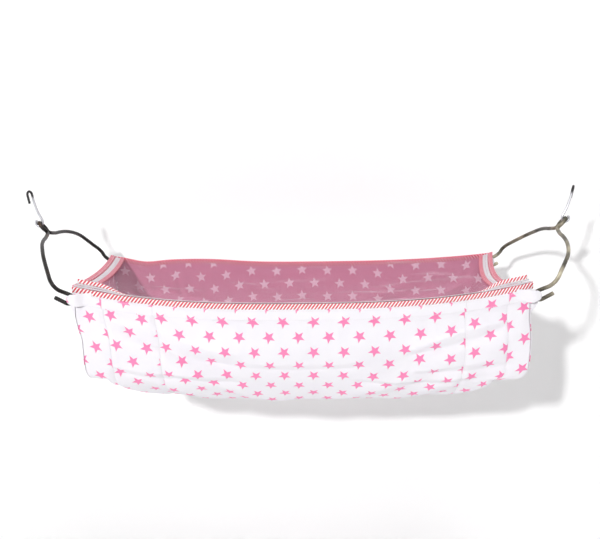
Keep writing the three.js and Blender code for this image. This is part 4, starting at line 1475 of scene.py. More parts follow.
@dataclass
class RimBindings:
    """The striped binding of the rim, its stitches and the tub's half of the zips."""

    tub: TubForm
    band: BandForm
    stripe: Finish
    # The back's and the ends' stripes are darker copies of the front's binding: painted shade.
    shaded_back_stripe: Finish
    end_stripe: Finish
    tape: Finish
    coil: Finish
    thread: Finish
    stations: int = 300
    end_stations: int = 140
    tape_width: float = 0.0052
    front_tape_width: float = 0.003
    zip_gap: float = 0.0016
    stitch: Bead = Bead(0.0024, 0.0006, 0.0005)
    link: Bead = Bead(0.0017, 0.0009, 0.0012, 6)
    link_pitch: float = 0.0016
    link_gap: float = 0.0004
    stitch_pitch: float = 0.0034
    step: float = 0.004

    def span(self, side: Side, short: float = 0.0, trim: float = 0.0) -> Array:
        """Places along the front's band or an end's.

        Args:
            side: the front or an end.
            short: how far short of both of the band's ends.
            trim: how much further short of its first.

        Returns:
            The places, along X or Y.
        """
        half, count = self.band.reach, self.stations
        if side is not Side.FRONT:
            half, count = self.tub.binding_inner - self.band.gap, self.end_stations
        return np.linspace(-half + short + trim, half - short, count)

    def strip(self, names: tuple[str, str], side: Side, span: Array, start: float, width: float,
              thick: float, body: str = "cradle") -> Piece:
        """A strip on the front's band or an end's, dressed as tape or as binding, as its node's name says.

        Args:
            names: the piece's name and its node's.
            side: the front or an end.
            span: places along it.
            start: how far in its outer edge lies.
            width: its width.
            thick: its thickness.
            body: the body it rides.

        Returns:
            The piece.
        """
        base = 0 if side is Side.FRONT else thick / 2
        near, half, far = start, start + width / 2, start + width
        middle, inner, outer, top, foot = (self.band.at(side, span, place, base + lift) for place, lift in (
            (half, 0), (far, 0), (near, 0), (half, thick / 2), (half, -thick / 2)))
        piece = Ribbon.piece(names[0], middle, (inner - outer) / 2, (top - foot) / 2, body)
        if names[1].endswith("tape"):
            return dressed(piece, self.tape, None, names[1:], "zip_tape")
        # The ends take the darker copy of the binding: painted shade.
        stripe = self.stripe if side is Side.FRONT else self.end_stripe
        return dressed(piece, stripe, None, names[1:], "striped_binding")

    def links(self, name: str, side: Side, span: Array, far: float, start: float,
              body: str = "cradle") -> Piece:
        """One side's links of a zip, every other one of the chain.

        Args:
            name: the piece's name.
            side: the front or an end.
            span: places along it.
            far: how far in they lie.
            start: the first one's place, in links.
            body: the body they ride.

        Returns:
            The piece.
        """
        lift = 0 if side is Side.FRONT else self.band.tape_thickness / 2
        line, up = self.tub.placed(self.band.at(side, span, far, lift)), self.band.up(side, span, far)
        row = self.link.row(name, line, self.link_pitch * 2, up, start)
        return dressed(row, self.coil, body, [], "zip_tape")

    def stitches(self, name: str, line: Array, up: Array, body: str = "cradle") -> Piece:
        """A row of stitches through a binding."""
        row = self.stitch.row(name, self.tub.placed(line), self.stitch_pitch, up)
        return dressed(row, self.thread, body, [], "striped_binding")

    def long_binding(self, side: Side) -> list[Piece]:
        """A long side's binding and the row of stitches through it.

        Args:
            side: the front or the back.

        Returns:
            The two pieces.
        """
        x = self.span(Side.FRONT)
        high, thick = self.tub.binding_height, self.tub.binding_thickness
        middle = self.tub.beside(side, x, -self.tub.wall / 2, -high / 2)
        swell = 1 + 0.05 * np.sin(x * 410) * np.sin(x * 37)
        band = Ribbon.upright(f"{side.word}_binding", middle, side, high, thick, pucker=swell)
        # The back takes the darker copy of the binding: painted shade.
        striped = self.stripe if side is Side.FRONT else self.shaded_back_stripe
        dressed(band, striped, None, [f"{side.word}_rim_binding"], "striped_binding")
        line = self.tub.beside(side, x, (thick * 1.02 - self.tub.wall) / 2, -high * 0.84)[4:-4]
        return [band, self.stitches(f"{side.word}_binding_stitches", line, np.array([0, side.sign, 0]))]

    def end_band(self, end: Side) -> list[Piece]:
        """An end's binding and its stitches, and the rim's half of its zip.

        Args:
            end: which end.

        Returns:
            The pieces.
        """
        word, high, lift = end.word, self.tub.binding_height, self.band.end_thickness
        whole, start = self.span(end), self.tub.binding_height + self.band.gap
        band = self.strip((f"{word}_binding", f"{word}_rim_binding"), end, whole, 0, high, lift)
        tape = self.strip((f"{word}_rim_tape_cloth", f"{word}_rim_tape"), end, whole, start,
                          self.tape_width, self.band.tape_thickness)
        links = self.links(f"{word}_rim_links", end, self.span(end, trim=3 * self.step),
                           start + self.tape_width + self.link_gap, 0.5)
        y, far = self.span(end, self.step / 2 - self.band.gap), high * 0.8
        row = self.stitches(f"{word}_binding_stitches", self.band.end(end, y, far, lift * 1.01),
                            self.band.up(end, y, far))
        return [band, tape, links, row]

    def build(self) -> list[Piece]:
        """Builds the tub's bands.

        Returns:
            The pieces.
        """
        made = [piece for side in LONG_SIDES for piece in self.long_binding(side)]
        made += [piece for end in ENDS for piece in self.end_band(end)]
        start, width = self.band.front_tape, self.front_tape_width
        made.append(self.strip(("front_tape", "front_rim_tape"), Side.FRONT, self.span(Side.FRONT, self.step),
                               start, width, self.band.tape_thickness))
        made.append(self.links("front_rim_links", Side.FRONT, self.span(Side.FRONT, 3 * self.step),
                               start + width + self.link_gap, 0.5))
        return made


@dataclass
class NetCover:
    """The net, its striped edges and the cover's half of the zips."""

    tub: TubForm
    band: BandForm
    rim: RimBindings
    netting: Finish
    columns: int = 260
    rows: int = 90
    sag: float = 0.020
    pull_power: float = 6.0
    net_binding_width: float = 0.009
    front_binding_width: float = 0.008
    crease: float = 0.0016
    under: float = 0.0036
    trim: float = 0.0146

    @property
    def end_start(self) -> float:
        """Where an end's net tape starts, in from the rim's outer edge."""
        return self.tub.binding_height + self.band.gap + self.rim.tape_width + self.rim.zip_gap

    @property
    def band_width(self) -> float:
        """How far in the end's band reaches."""
        return self.end_start + self.rim.tape_width + self.band.gap + self.net_binding_width

    @property
    def net_tape(self) -> float:
        """Where the front's net tape starts along the lean."""
        return self.band.front_tape + self.rim.front_tape_width + self.rim.zip_gap

    @property
    def net_binding(self) -> float:
        """Where the front's net binding starts along the lean."""
        return self.net_tape + self.rim.front_tape_width + 2 * self.band.gap

    def front_edge(self, x: Array) -> Array:
        """The net's front edge: behind the strips at the corners, under their inner edge elsewhere.

        Args:
            x: places along the front.

        Returns:
            Points by 3.
        """
        settled = smoothstep(self.band.lean(x), self.band.lean_corner, self.band.lean_middle)
        inner = self.net_binding + self.front_binding_width
        far = self.rim.tape_width + (inner - self.rim.tape_width) * settled
        return self.band.front(x, far, -self.under)

    def net_points(self) -> Array:
        """The net's surface: straight from edge to edge, sagging by a sine wave across times the slack.

        Toward the ends it is pulled to their bands, by a power of the share along.

        Returns:
            Columns by rows by 3, from the rim's corners.
        """
        slope = math.radians(self.band.slope)
        end_x = self.band.reach - self.band_width * math.cos(slope) - self.band.gap
        end_z = -self.band_width * math.sin(slope)
        x = np.linspace(-end_x, end_x, self.columns)
        across = np.linspace(0, 1, self.rows)[None, :]
        front = self.front_edge(x)
        corner = self.front_edge(np.array([end_x + self.band.gap]))[0]
        lower = self.tub.binding_height / 3
        back_z = self.tub.rim(x / self.tub.half_length, 1) - lower
        corner_back = float(self.tub.rim(np.array((end_x + self.band.gap) / self.tub.half_length), 1)) - lower
        share = np.abs(x / end_x)[:, None]
        edge = front[:, 2:3] + (back_z[:, None] - front[:, 2:3]) * across
        end_line = corner[2] + (corner_back - corner[2]) * across
        wave = np.sin(np.pi * across)
        pull = (end_z - end_line) * wave * share**self.pull_power
        drop = self.sag * wave * self.tub.slack(share)
        swell = np.sin(x[:, None] * 44 + across * 5 + 2 * np.sin(x[:, None] * 13))
        ripple = self.crease * wave * swell * (1 - share**8)
        back_y = self.tub.binding_inner - self.band.gap
        y = front[:, 1:2] + (back_y - front[:, 1:2]) * across
        z = edge + pull - drop + ripple * 0.6
        points = spread(x[:, None], y, z)
        power = share**self.pull_power
        left = self.tub.slumped(Side.LEFT, points, power)
        right = self.tub.slumped(Side.RIGHT, points, power)
        return np.where(x[:, None, None] < 0, left, right)

    def build(self) -> list[Piece]:
        """Builds and dresses the cover.

        Returns:
            The pieces.
        """
        points = self.net_points()
        cloth = spread(points[..., 0], lengths_along(points))
        net = Surface.piece("net", TUB.placed(points), cloth)
        Surface.turned_out(net, np.array([0.0, 0.0, 1.0]))
        dressed(net, self.netting, "net_cover", ["net_panel"], "net")
        edges = self.front_edges() + [piece for end in ENDS for piece in self.end_edges(end)]
        sewn_sheet(net, points.transpose(1, 0, 2))
        return [net, *edges]

    def front_edges(self) -> list[Piece]:
        """The cover's front binding and its stitches, and the cover's half of the front zip.

        Returns:
            The pieces.
        """
        rim, band, side, body = self.rim, self.band, Side.FRONT, "net_cover"
        short, thick = self.rim.span(side, 3 * self.rim.step), self.band.net_binding_thickness
        binding = rim.strip(("front_net_edge", "front_net_binding"), side, short, self.net_binding,
                            self.front_binding_width, thick, body)
        tape = rim.strip(("front_net_tape_cloth", "front_net_tape"), side, rim.span(side, 2 * rim.step),
                         self.net_tape, rim.front_tape_width, band.tape_thickness, body)
        links = rim.links("front_net_links", side, short, self.net_tape - rim.link_gap, 1.0, body)
        x, far = rim.span(side, 4 * rim.step), self.net_binding + self.front_binding_width * 0.2
        row = rim.stitches("front_net_stitches", band.front(x, far, thick / 2), band.up(side, x, far), body)
        return [binding, tape, links, row]

    def end_edges(self, end: Side) -> list[Piece]:
        """The cover's binding at an end, and the cover's half of that zip.

        Args:
            end: which end.

        Returns:
            The pieces.
        """
        rim, band, word, body = self.rim, self.band, end.word, "net_cover"
        tape = rim.strip((f"{word}_net_tape_cloth", f"{word}_net_tape"), end, rim.span(end, trim=self.trim),
                         self.end_start, rim.tape_width, band.tape_thickness, body)
        edge = rim.strip((f"{word}_net_edge", f"{word}_net_binding"), end, rim.span(end),
                         self.end_start + rim.tape_width + band.gap, self.net_binding_width,
                         band.net_binding_thickness, body)
        links = rim.links(f"{word}_net_links", end, rim.span(end, trim=self.trim + band.short),
                          self.end_start - rim.link_gap, 1.0, body)
        return [tape, edge, links]


# Belts with their loops


@dataclass
class Belt:
    """A belt sewn along a long side, with a loop and a gusset past each end."""

    tub: TubForm
    side: Side
    cloth: Finish
    thread: Finish
    high: float = 0.021
    thick: float = 0.0018
    below_binding: float = 0.001
    gap: float = 0.00035
    loop_cloth: float = 0.0018
    root_high: float = 0.048
    flap: float = 0.030
    bunch: float = 0.007
    flare: float = 0.008
    peel: float = 0.030
    peel_out: float = 0.0006
    puff: float = 0.0012
    tall: float = 0.0245
    foot_gap: float = 0.0012
    rod: float = 0.008
    running: float = 0.0005
    stations: int = 320

    @property
    def foot_radius(self) -> float:
        """From a loop's middle to the rod's centre line."""
        return self.bunch / 2 + self.foot_gap + self.rod / 2

    def reach(self, end: Side, side: Side) -> float:
        """How far a loop's middle stands beyond the end of the tub."""
        front, back = (0.011, 0.008) if end is Side.LEFT else (0.017, 0.009)
        return front if side is Side.FRONT else back

    def tip(self, end: Side, side: Side) -> Array:
        """The middle of a loop's bunched tip, along and across the tub."""
        across = side.sign * (self.tub.half_width + self.flare)
        return np.array([end.sign * (self.tub.half_length + self.reach(end, side)), across])

    @property
    def middle(self) -> float:
        """Height of the belt's centre at the corners."""
        return -self.tub.binding_height - self.below_binding - self.high / 2

    def printed(self, points: Array) -> Array:
        """Metres along and across the tub's own cloth beside these points, so that its print runs on.

        Along is the place along the tub plus how far the cloth has turned in behind the belt, and across is
        the fall.

        Args:
            points: points of the belt, from the rim's corners.

        Returns:
            Both lengths, in a last axis of two.
        """
        share = np.clip(points[..., 0] / self.tub.half_length, -1, 1)
        turned = self.tub.half_width - np.abs(points[..., 1])
        along = points[..., 0] + np.sign(points[..., 0]) * turned
        fallen = self.tub.rim(share, self.side.sign) - points[..., 2] - self.tub.cloth_start
        if self.side is Side.FRONT:
            return np.stack([along, fallen], axis=-1)
        stations = np.linspace(-1, 1, 41)
        section = self.tub.section(stations, np.linspace(-1, 1, 160), 0.0)
        total = lengths_along(section)[:, -1] - 2 * self.tub.cloth_start
        return np.stack([along, np.interp(share, stations, total) - fallen], axis=-1)

    def strap(self) -> Piece:
        """The belt itself, following the rim.

        Returns:
            The piece.
        """
        half = self.tub.half_length + self.thick
        x = np.linspace(-half, half, self.stations)
        middle = self.tub.beside(self.side, x, self.gap + self.thick / 2, self.middle)
        swell = 1 + 0.25 * np.sin(x * 160 + 2 * np.sin(x * 31)) * np.sin(x * 19) ** 2
        band = Ribbon.upright(f"{self.side.word}_belt", middle, self.side, self.high, self.thick,
                              sides=28, power=8, pucker=swell, printed=self.printed)
        return dressed(band, self.cloth, None, [f"{self.side.word}_belt_band"], "printed_cloth")

    def loop(self, end: Side) -> Piece:
        """A loop: out from the belt, round the rod in a bunch, and back to a tall gusset on the tub's end.

        Args:
            end: which end it stands at.

        Returns:
            The piece.
        """
        way, side = end.sign, self.side.sign
        root = np.array([way * (self.tub.half_length + self.gap),
                         side * (self.tub.half_width + self.gap + self.thick / 2)])
        tip = self.tip(end, self.side)
        cloth, bunch = self.loop_cloth, self.bunch
        spacing = self.rod / 2 + self.running + cloth / 2
        wall = spacing + bunch / 4
        shoulder, heel = -bunch / 2, -self.foot_radius - self.rod / 2 - cloth
        peel = self.thick / 2 + self.peel_out
        low, bend = self.high - bunch / 3, bunch * 1.6
        start, half = tip[0] + way * (heel - self.peel), tip[0] + way * (heel - self.peel / 2)
        stations = [(start, root[1] - side * self.running / 2, self.high * 0.96, cloth),
                    (half, root[1] + side * (peel + self.puff), self.tall, cloth)]
        stations += [(tip[0] + way * out, tip[1] + side * aside, high, thick) for out, aside, high, thick in (
            (heel, wall, self.tall, cloth), (shoulder, wall, low, cloth), (0, spacing, bend, bunch / 2),
            (0, 0, bunch, bunch), (0, -spacing, bend, bunch / 2), (shoulder, -wall, self.flap, cloth))]
        stations.append((root[0], root[1], self.root_high, cloth))
        line = Tube.smooth_line(np.array(stations), 12)
        place, high, thick = line[:, :2], line[:, 2], line[:, 3]
        run = unit(np.gradient(place, axis=0))
        top = self.middle + np.minimum(high, self.high) / 2
        middle = spread(place[:, 0], place[:, 1], top - high / 2)
        wide = spread(0.0, 0.0, high / 2)
        deep = spread(-run[:, 1] * thick / 2, run[:, 0] * thick / 2, 0.0)
        name = f"{end.word}_{self.side.word}_loop"
        band = Ribbon.piece(name, middle, wide, deep, "cradle", sides=28, power=5, printed=self.printed)
        return dressed(band, self.cloth, None, [], "printed_cloth")

    def stitches(self) -> list[Piece]:
        """Two rows of stitches that hold the belt, near its edges.

        Returns:
            A piece for each row.
        """
        half = self.tub.half_length - 0.001
        x = np.linspace(-half, half, self.stations)
        out = self.gap + self.thick * 1.02
        rows = []
        for name, off in (("upper", 0.42), ("lower", -0.42)):
            line = TUB.placed(self.tub.beside(self.side, x, out, self.middle + self.high * off))
            row = SEAM_STITCH.row(f"{self.side.word}_belt_{name}_stitches", line, SEAM_PITCH,
                                  np.array([0.0, self.side.sign, 0.0]))
            rows.append(dressed(row, self.thread, "cradle", [], "printed_cloth"))
        return rows

    def build(self) -> list[Piece]:
        """Builds the belt, its loops and its stitches.

        Returns:
            The pieces.
        """
        return [self.strap(), *(self.loop(end) for end in ENDS), *self.stitches()]


# Bails and hooks


@dataclass
class HungBail:
    """A bail of bent rod, leaned out from the loops, and the wire hook that holds it."""

    tub: TubForm
    end: Side
    belt: Belt
    coat: Finish
    wire_finish: Finish
    lean: float = 40.5
    hook_lean: float = 12.0
    rod: float = 0.008
    wire: float = 0.005
    shoulder: float = 0.131
    neck: float = 0.140
    eye: float = 0.166
    eye_inside: float = 0.008
    neck_gap: float = 0.001
    foot_opening: float = 22.0
    front_tip: float = 0.023
    back_tip: float = 0.007
    foot_straight: float = 0.004
    leg_jog: float = 0.018
    leg_bow: float = 0.006
    hook_length: float = 0.062
    hook_curl: float = 0.008
    hook_tip: float = 0.016
    hook_turn: float = 70.0
    leg_shares: tuple[tuple[float, float], ...] = (
        (1.035, 0.20), (1.06, 0.29), (1.035, 0.38), (0.97, 0.47), (0.875, 0.60),
        (0.76, 0.74), (0.635, 0.84), (0.49, 0.92), (0.33, 0.97), (0.17, 1.0))

    @property
    def eye_half(self) -> float:
        """From the eye's middle to the rod's centre line."""
        return (self.rod + self.eye_inside) / 2

    @staticmethod
    def arc(centre: Array, radius: float, across: Array, start: float, stop: float, count: int) -> Array:
        """Points on a circle: the radius times cosine one way and times sine upward."""
        angle = np.radians(np.linspace(start, stop, count + 1))[:, None]
        return centre + radius * (np.cos(angle) * across + np.sin(angle) * np.array([0.0, 0.0, 1.0]))

    def half(self, side: int) -> Array:
        """Half of the centre line: the hooked foot, the leg over its middle, and one side of the eye.

        Args:
            side: -1 for the front half, 1 for the back.

        Returns:
            Points by 3, in the bail's own upright plane.
        """
        foot_y = side * (self.tub.half_width + self.belt.flare)
        radius = self.belt.foot_radius
        turn = self.arc(np.array([0, foot_y, 0]), radius, np.array([1.0, 0, 0]), -self.foot_opening, -180, 12)
        opening = math.radians(self.foot_opening)
        length = self.front_tip if side * self.end.sign < 0 else self.back_tip
        way = np.array([math.sin(opening), 0, math.cos(opening)]) * length
        jog = [(-radius, foot_y, self.foot_straight),
               (-radius / 2, foot_y, self.foot_straight + self.leg_jog / 2)]
        bow = self.leg_bow * self.end.sign
        leg = [(bow * math.sin(math.pi * rise**3), side * span * abs(foot_y), rise * self.shoulder)
               for span, rise in self.leg_shares]
        eye_foot = self.eye - self.eye_half
        rest = [(0, side * (self.rod + self.neck_gap) / 2, self.neck),
                (0, side * self.eye_half, (self.neck + eye_foot) / 2 + self.neck_gap),
                (0, side * self.eye_half, eye_foot)]
        return np.concatenate([[turn[0] + way, turn[0] + way / 2], turn, jog, leg, rest])

    def centre_line(self) -> Array:
        """The whole bail's centre line, smooth through its points."""
        top = np.array([0, 0, self.eye - self.eye_half])
        crown = self.arc(top, self.eye_half, np.array([0, 1.0, 0]), 150, 30, 4)
        return Tube.smooth_line(np.concatenate([self.half(-1), crown, self.half(1)[::-1]]), 9)

    def hook_line(self) -> Array:
        """The hook's centre line: a curl round the eye, a shank, and a long curl turned aside.

        Returns:
            Points by 3, from the middle of the eye.
        """
        curl = self.rod / 2 + self.wire / 2 + 2 * self.belt.running
        lower = self.arc(np.zeros(3), curl, np.array([1.0, 0, 0]), 50, -180, 9)
        top = self.hook_length - self.hook_tip
        shank = np.array([[-curl, 0, curl / 2], [-curl / 3, 0, top / 2], [0, 0, top]])
        turn = math.radians(self.hook_turn)
        across = np.array([math.cos(turn), math.sin(turn), 0])
        middle = across * self.hook_curl + np.array([0, 0, self.hook_length])
        upper = self.arc(middle, self.hook_curl, across, 180, 0, 8)
        tip = upper[-1] * np.array([1, 1, 0]) + np.array([0, 0, top])
        return Tube.smooth_line(np.concatenate([lower, shank, upper, tip[None]]), 9)

    @staticmethod
    def leaned(line: Array, degrees: float) -> Array:
        """A line turned about Y, so that its top goes toward X.

        Args:
            line: points by 3.
            degrees: how far it turns.

        Returns:
            The turned points.
        """
        angle = math.radians(degrees)
        x = line[:, 0] * math.cos(angle) + line[:, 2] * math.sin(angle)
        z = line[:, 2] * math.cos(angle) - line[:, 0] * math.sin(angle)
        return np.stack([x, line[:, 1], z], axis=-1)

    def hung(self, line: Array) -> Array:
        """A line of the bail's own, leaned out from the two loops of this end, in the frame.

        Args:
            line: points by 3, from between the loops.

        Returns:
            The same points in the frame.
        """
        moved = self.leaned(line, self.lean)
        front, back = (self.belt.tip(self.end, side) for side in LONG_SIDES)
        turn = math.atan2(front[0] - back[0], back[1] - front[1]) + (0 if self.end is Side.RIGHT else math.pi)
        x = moved[:, 0] * math.cos(turn) - moved[:, 1] * math.sin(turn) + (front[0] + back[0]) / 2
        y = moved[:, 0] * math.sin(turn) + moved[:, 1] * math.cos(turn)
        return self.tub.placed(np.stack([x, y, moved[:, 2] + self.belt.middle], axis=-1))

    def build(self) -> list[Piece]:
        """Builds the rod and the hook.

        Returns:
            The pieces.
        """
        word = self.end.word
        bail = Tube.piece(f"{word}_bail_rod", self.hung(self.centre_line()), self.rod / 2, 28)
        dressed(bail, self.coat, f"{word}_bail", [f"{word}_bail"], "bail_rod")
        hook_line = self.leaned(self.hook_line(), self.hook_lean - self.lean) + np.array([0, 0, self.eye])
        hook = Tube.piece(f"{word}_hook_wire", self.hung(hook_line), self.wire / 2, 20)
        dressed(hook, self.wire_finish, f"{word}_hook", [f"{word}_hook"], "hook_wire")
        return [bail, hook]


# Zip sliders


@dataclass
class ZipSlider:
    """A slider on an end zip, parked at the front, and its pull."""

    band: BandForm
    rim: RimBindings
    end: Side
    metal: Finish
    length: float = 0.010
    width: float = 0.009
    plate: float = 0.0012
    web: float = 0.0008
    gap: float = 0.0004
    arch_length: float = 0.005
    arch_stand: float = 0.0028
    arch_bar: float = 0.0009
    pull_length: float = 0.015
    pull_width: float = 0.006
    pull_thickness: float = 0.001
    ring_radius: float = 0.00195
    ring_wall: float = 0.0008
    park: float = 0.008
    band_width: float = 0.0327
    plate_edge: float = 0.0004
    web_edge: float = 0.0001
    pull_edge: float = 0.0003

    def basis(self) -> tuple[Array, Array]:
        """The slider's middle and its three directions: across the zip, along it and up off the band.

        Returns:
            The middle, and the directions as rows.
        """
        tub = self.band.tub
        inner = tub.binding_inner - self.band.gap
        far = tub.binding_height + self.band.gap + self.rim.tape_width + self.rim.zip_gap / 2
        y = np.array([-inner, -inner + 2 * inner / 12])
        start, following = self.band.end(self.end, y, far, self.band.tape_thickness / 2)
        along = unit(following - start)
        outer, inmost = (self.band.end(self.end, y[:1], reach, 0.0)[0] for reach in (0.0, self.band_width))
        up = unit(np.cross((outer - inmost) * self.end.sign, along))
        return tub.placed(start + along * self.park), np.stack([np.cross(along, up), along, up])

    @staticmethod
    def plate_points(outline: Array, low: float, high: float, edge: float) -> Array:
        """A flat plate of an outline: rings at its faces drawn in by its rounded edge, in three steps.

        Args:
            outline: points by 2 round the plate.
            low: height of its underside.
            high: height of its top.
            edge: radius of its edges.

        Returns:
            Rings by points by 3.
        """
        middle = outline.mean(axis=0)
        size = np.linalg.norm(outline - middle, axis=1, keepdims=True)
        rings = []
        for height, turn in [(low, 1.0), (low, 0.5), (low, 0.0), (high, 0.0), (high, 0.5), (high, 1.0)]:
            inward = edge * (1 - math.cos(turn * math.pi / 2))
            lift = edge * (1 - math.sin(turn * math.pi / 2)) * (1 if height == low else -1)
            ring = middle + (outline - middle) * (1 - inward / size)
            rings.append(np.concatenate([ring, np.full((len(ring), 1), height + lift)], axis=1))
        return np.array(rings)

    def put(self, name: str, rings: Array, body: str, nodes: Sequence[str]) -> Piece:
        """Makes a closed piece of rings of the slider's own, placed on the zip.

        Args:
            name: the piece's name.
            rings: rings by points by 3.
            body: the body it rides.
            nodes: the nodes that it stands for.

        Returns:
            The piece.
        """
        middle, axes = self.basis()
        cloth = np.zeros((rings.shape[0], rings.shape[1] + 1, 2))
        piece = Surface.piece(name, middle + rings @ axes, cloth, closed=True)
        return dressed(piece, self.metal, body, nodes, "slider_metal")

    def build(self) -> list[Piece]:
        """Builds two plates, the web, the arch, and the pull's ring and tab.

        Returns:
            The pieces.
        """
        word = self.end.word
        face = self.band.tape_thickness / 2 + self.gap
        ring = rounded_ring(32, 3.2)
        nose = 1 - 0.22 * ring[:, 1:]
        outline = ring * np.array([self.width / 2, self.length / 2])
        outline[:, :1] *= nose
        body, edge, far = f"{word}_slider", self.plate_edge, face + self.plate
        upper = self.plate_points(outline, face, far, edge)
        under = self.plate_points(outline, -far, -face, edge)
        top = self.put(f"{word}_slider_top", upper, body, [f"{word}_zip_slider"])
        low = self.put(f"{word}_slider_under", under, body, [])
        post = rounded_ring(16) * np.array([self.web / 2, self.length / 4])
        web = self.put(f"{word}_slider_web", self.plate_points(post, -face, face, self.web_edge), body, [])
        half, rise = self.arch_length / 2 - self.arch_bar / 2, self.arch_stand - self.arch_bar / 2
        roof, foot = far + rise * 0.6, far - 0.0003
        knots = np.array([[0, -half, foot], [0, -half, roof], [0, -half * 0.6, far + rise],
                          [0, half * 0.6, far + rise], [0, half, roof], [0, half, foot]])
        middle, axes = self.basis()
        line = middle + Tube.smooth_line(knots, 8) @ axes
        arch = Tube.piece(f"{word}_slider_arch", line, self.arch_bar / 2, 12)
        dressed(arch, self.metal, body, [], "slider_metal")
        return [top, low, web, arch, *self.pull(middle, axes, far + rise)]

    def pull(self, middle: Array, axes: Array, height: float) -> list[Piece]:
        """The ring round the arch's bar and the tab that lies back along the zip.

        Args:
            middle: the slider's middle.
            axes: its three directions.
            height: the bar's height.

        Returns:
            The two pieces.
        """
        word = self.end.word
        turn = np.linspace(0, 2 * np.pi, 28)
        radius = self.ring_radius - self.ring_wall / 2
        ring = spread(0.0, radius * np.cos(turn), height + radius * np.sin(turn))
        eye = Tube.piece(f"{word}_pull_ring", middle + ring @ axes, self.ring_wall / 2, 10)
        dressed(eye, self.metal, f"{word}_pull", [f"{word}_slider_pull"], "slider_metal")
        outline = rounded_ring(32, 4) * np.array([self.pull_width / 2, self.pull_length / 2])
        outline[:, 0] *= 0.82 + 0.18 * outline[:, 1] / (self.pull_length / 2)
        outline[:, 1] += radius + self.pull_length / 2
        thick = self.pull_thickness / 2
        rings = self.plate_points(outline, height - thick, height + thick, self.pull_edge)
        return [eye, self.put(f"{word}_pull_tab", rings, f"{word}_pull", [])]


# Floor, wall, lights and camera


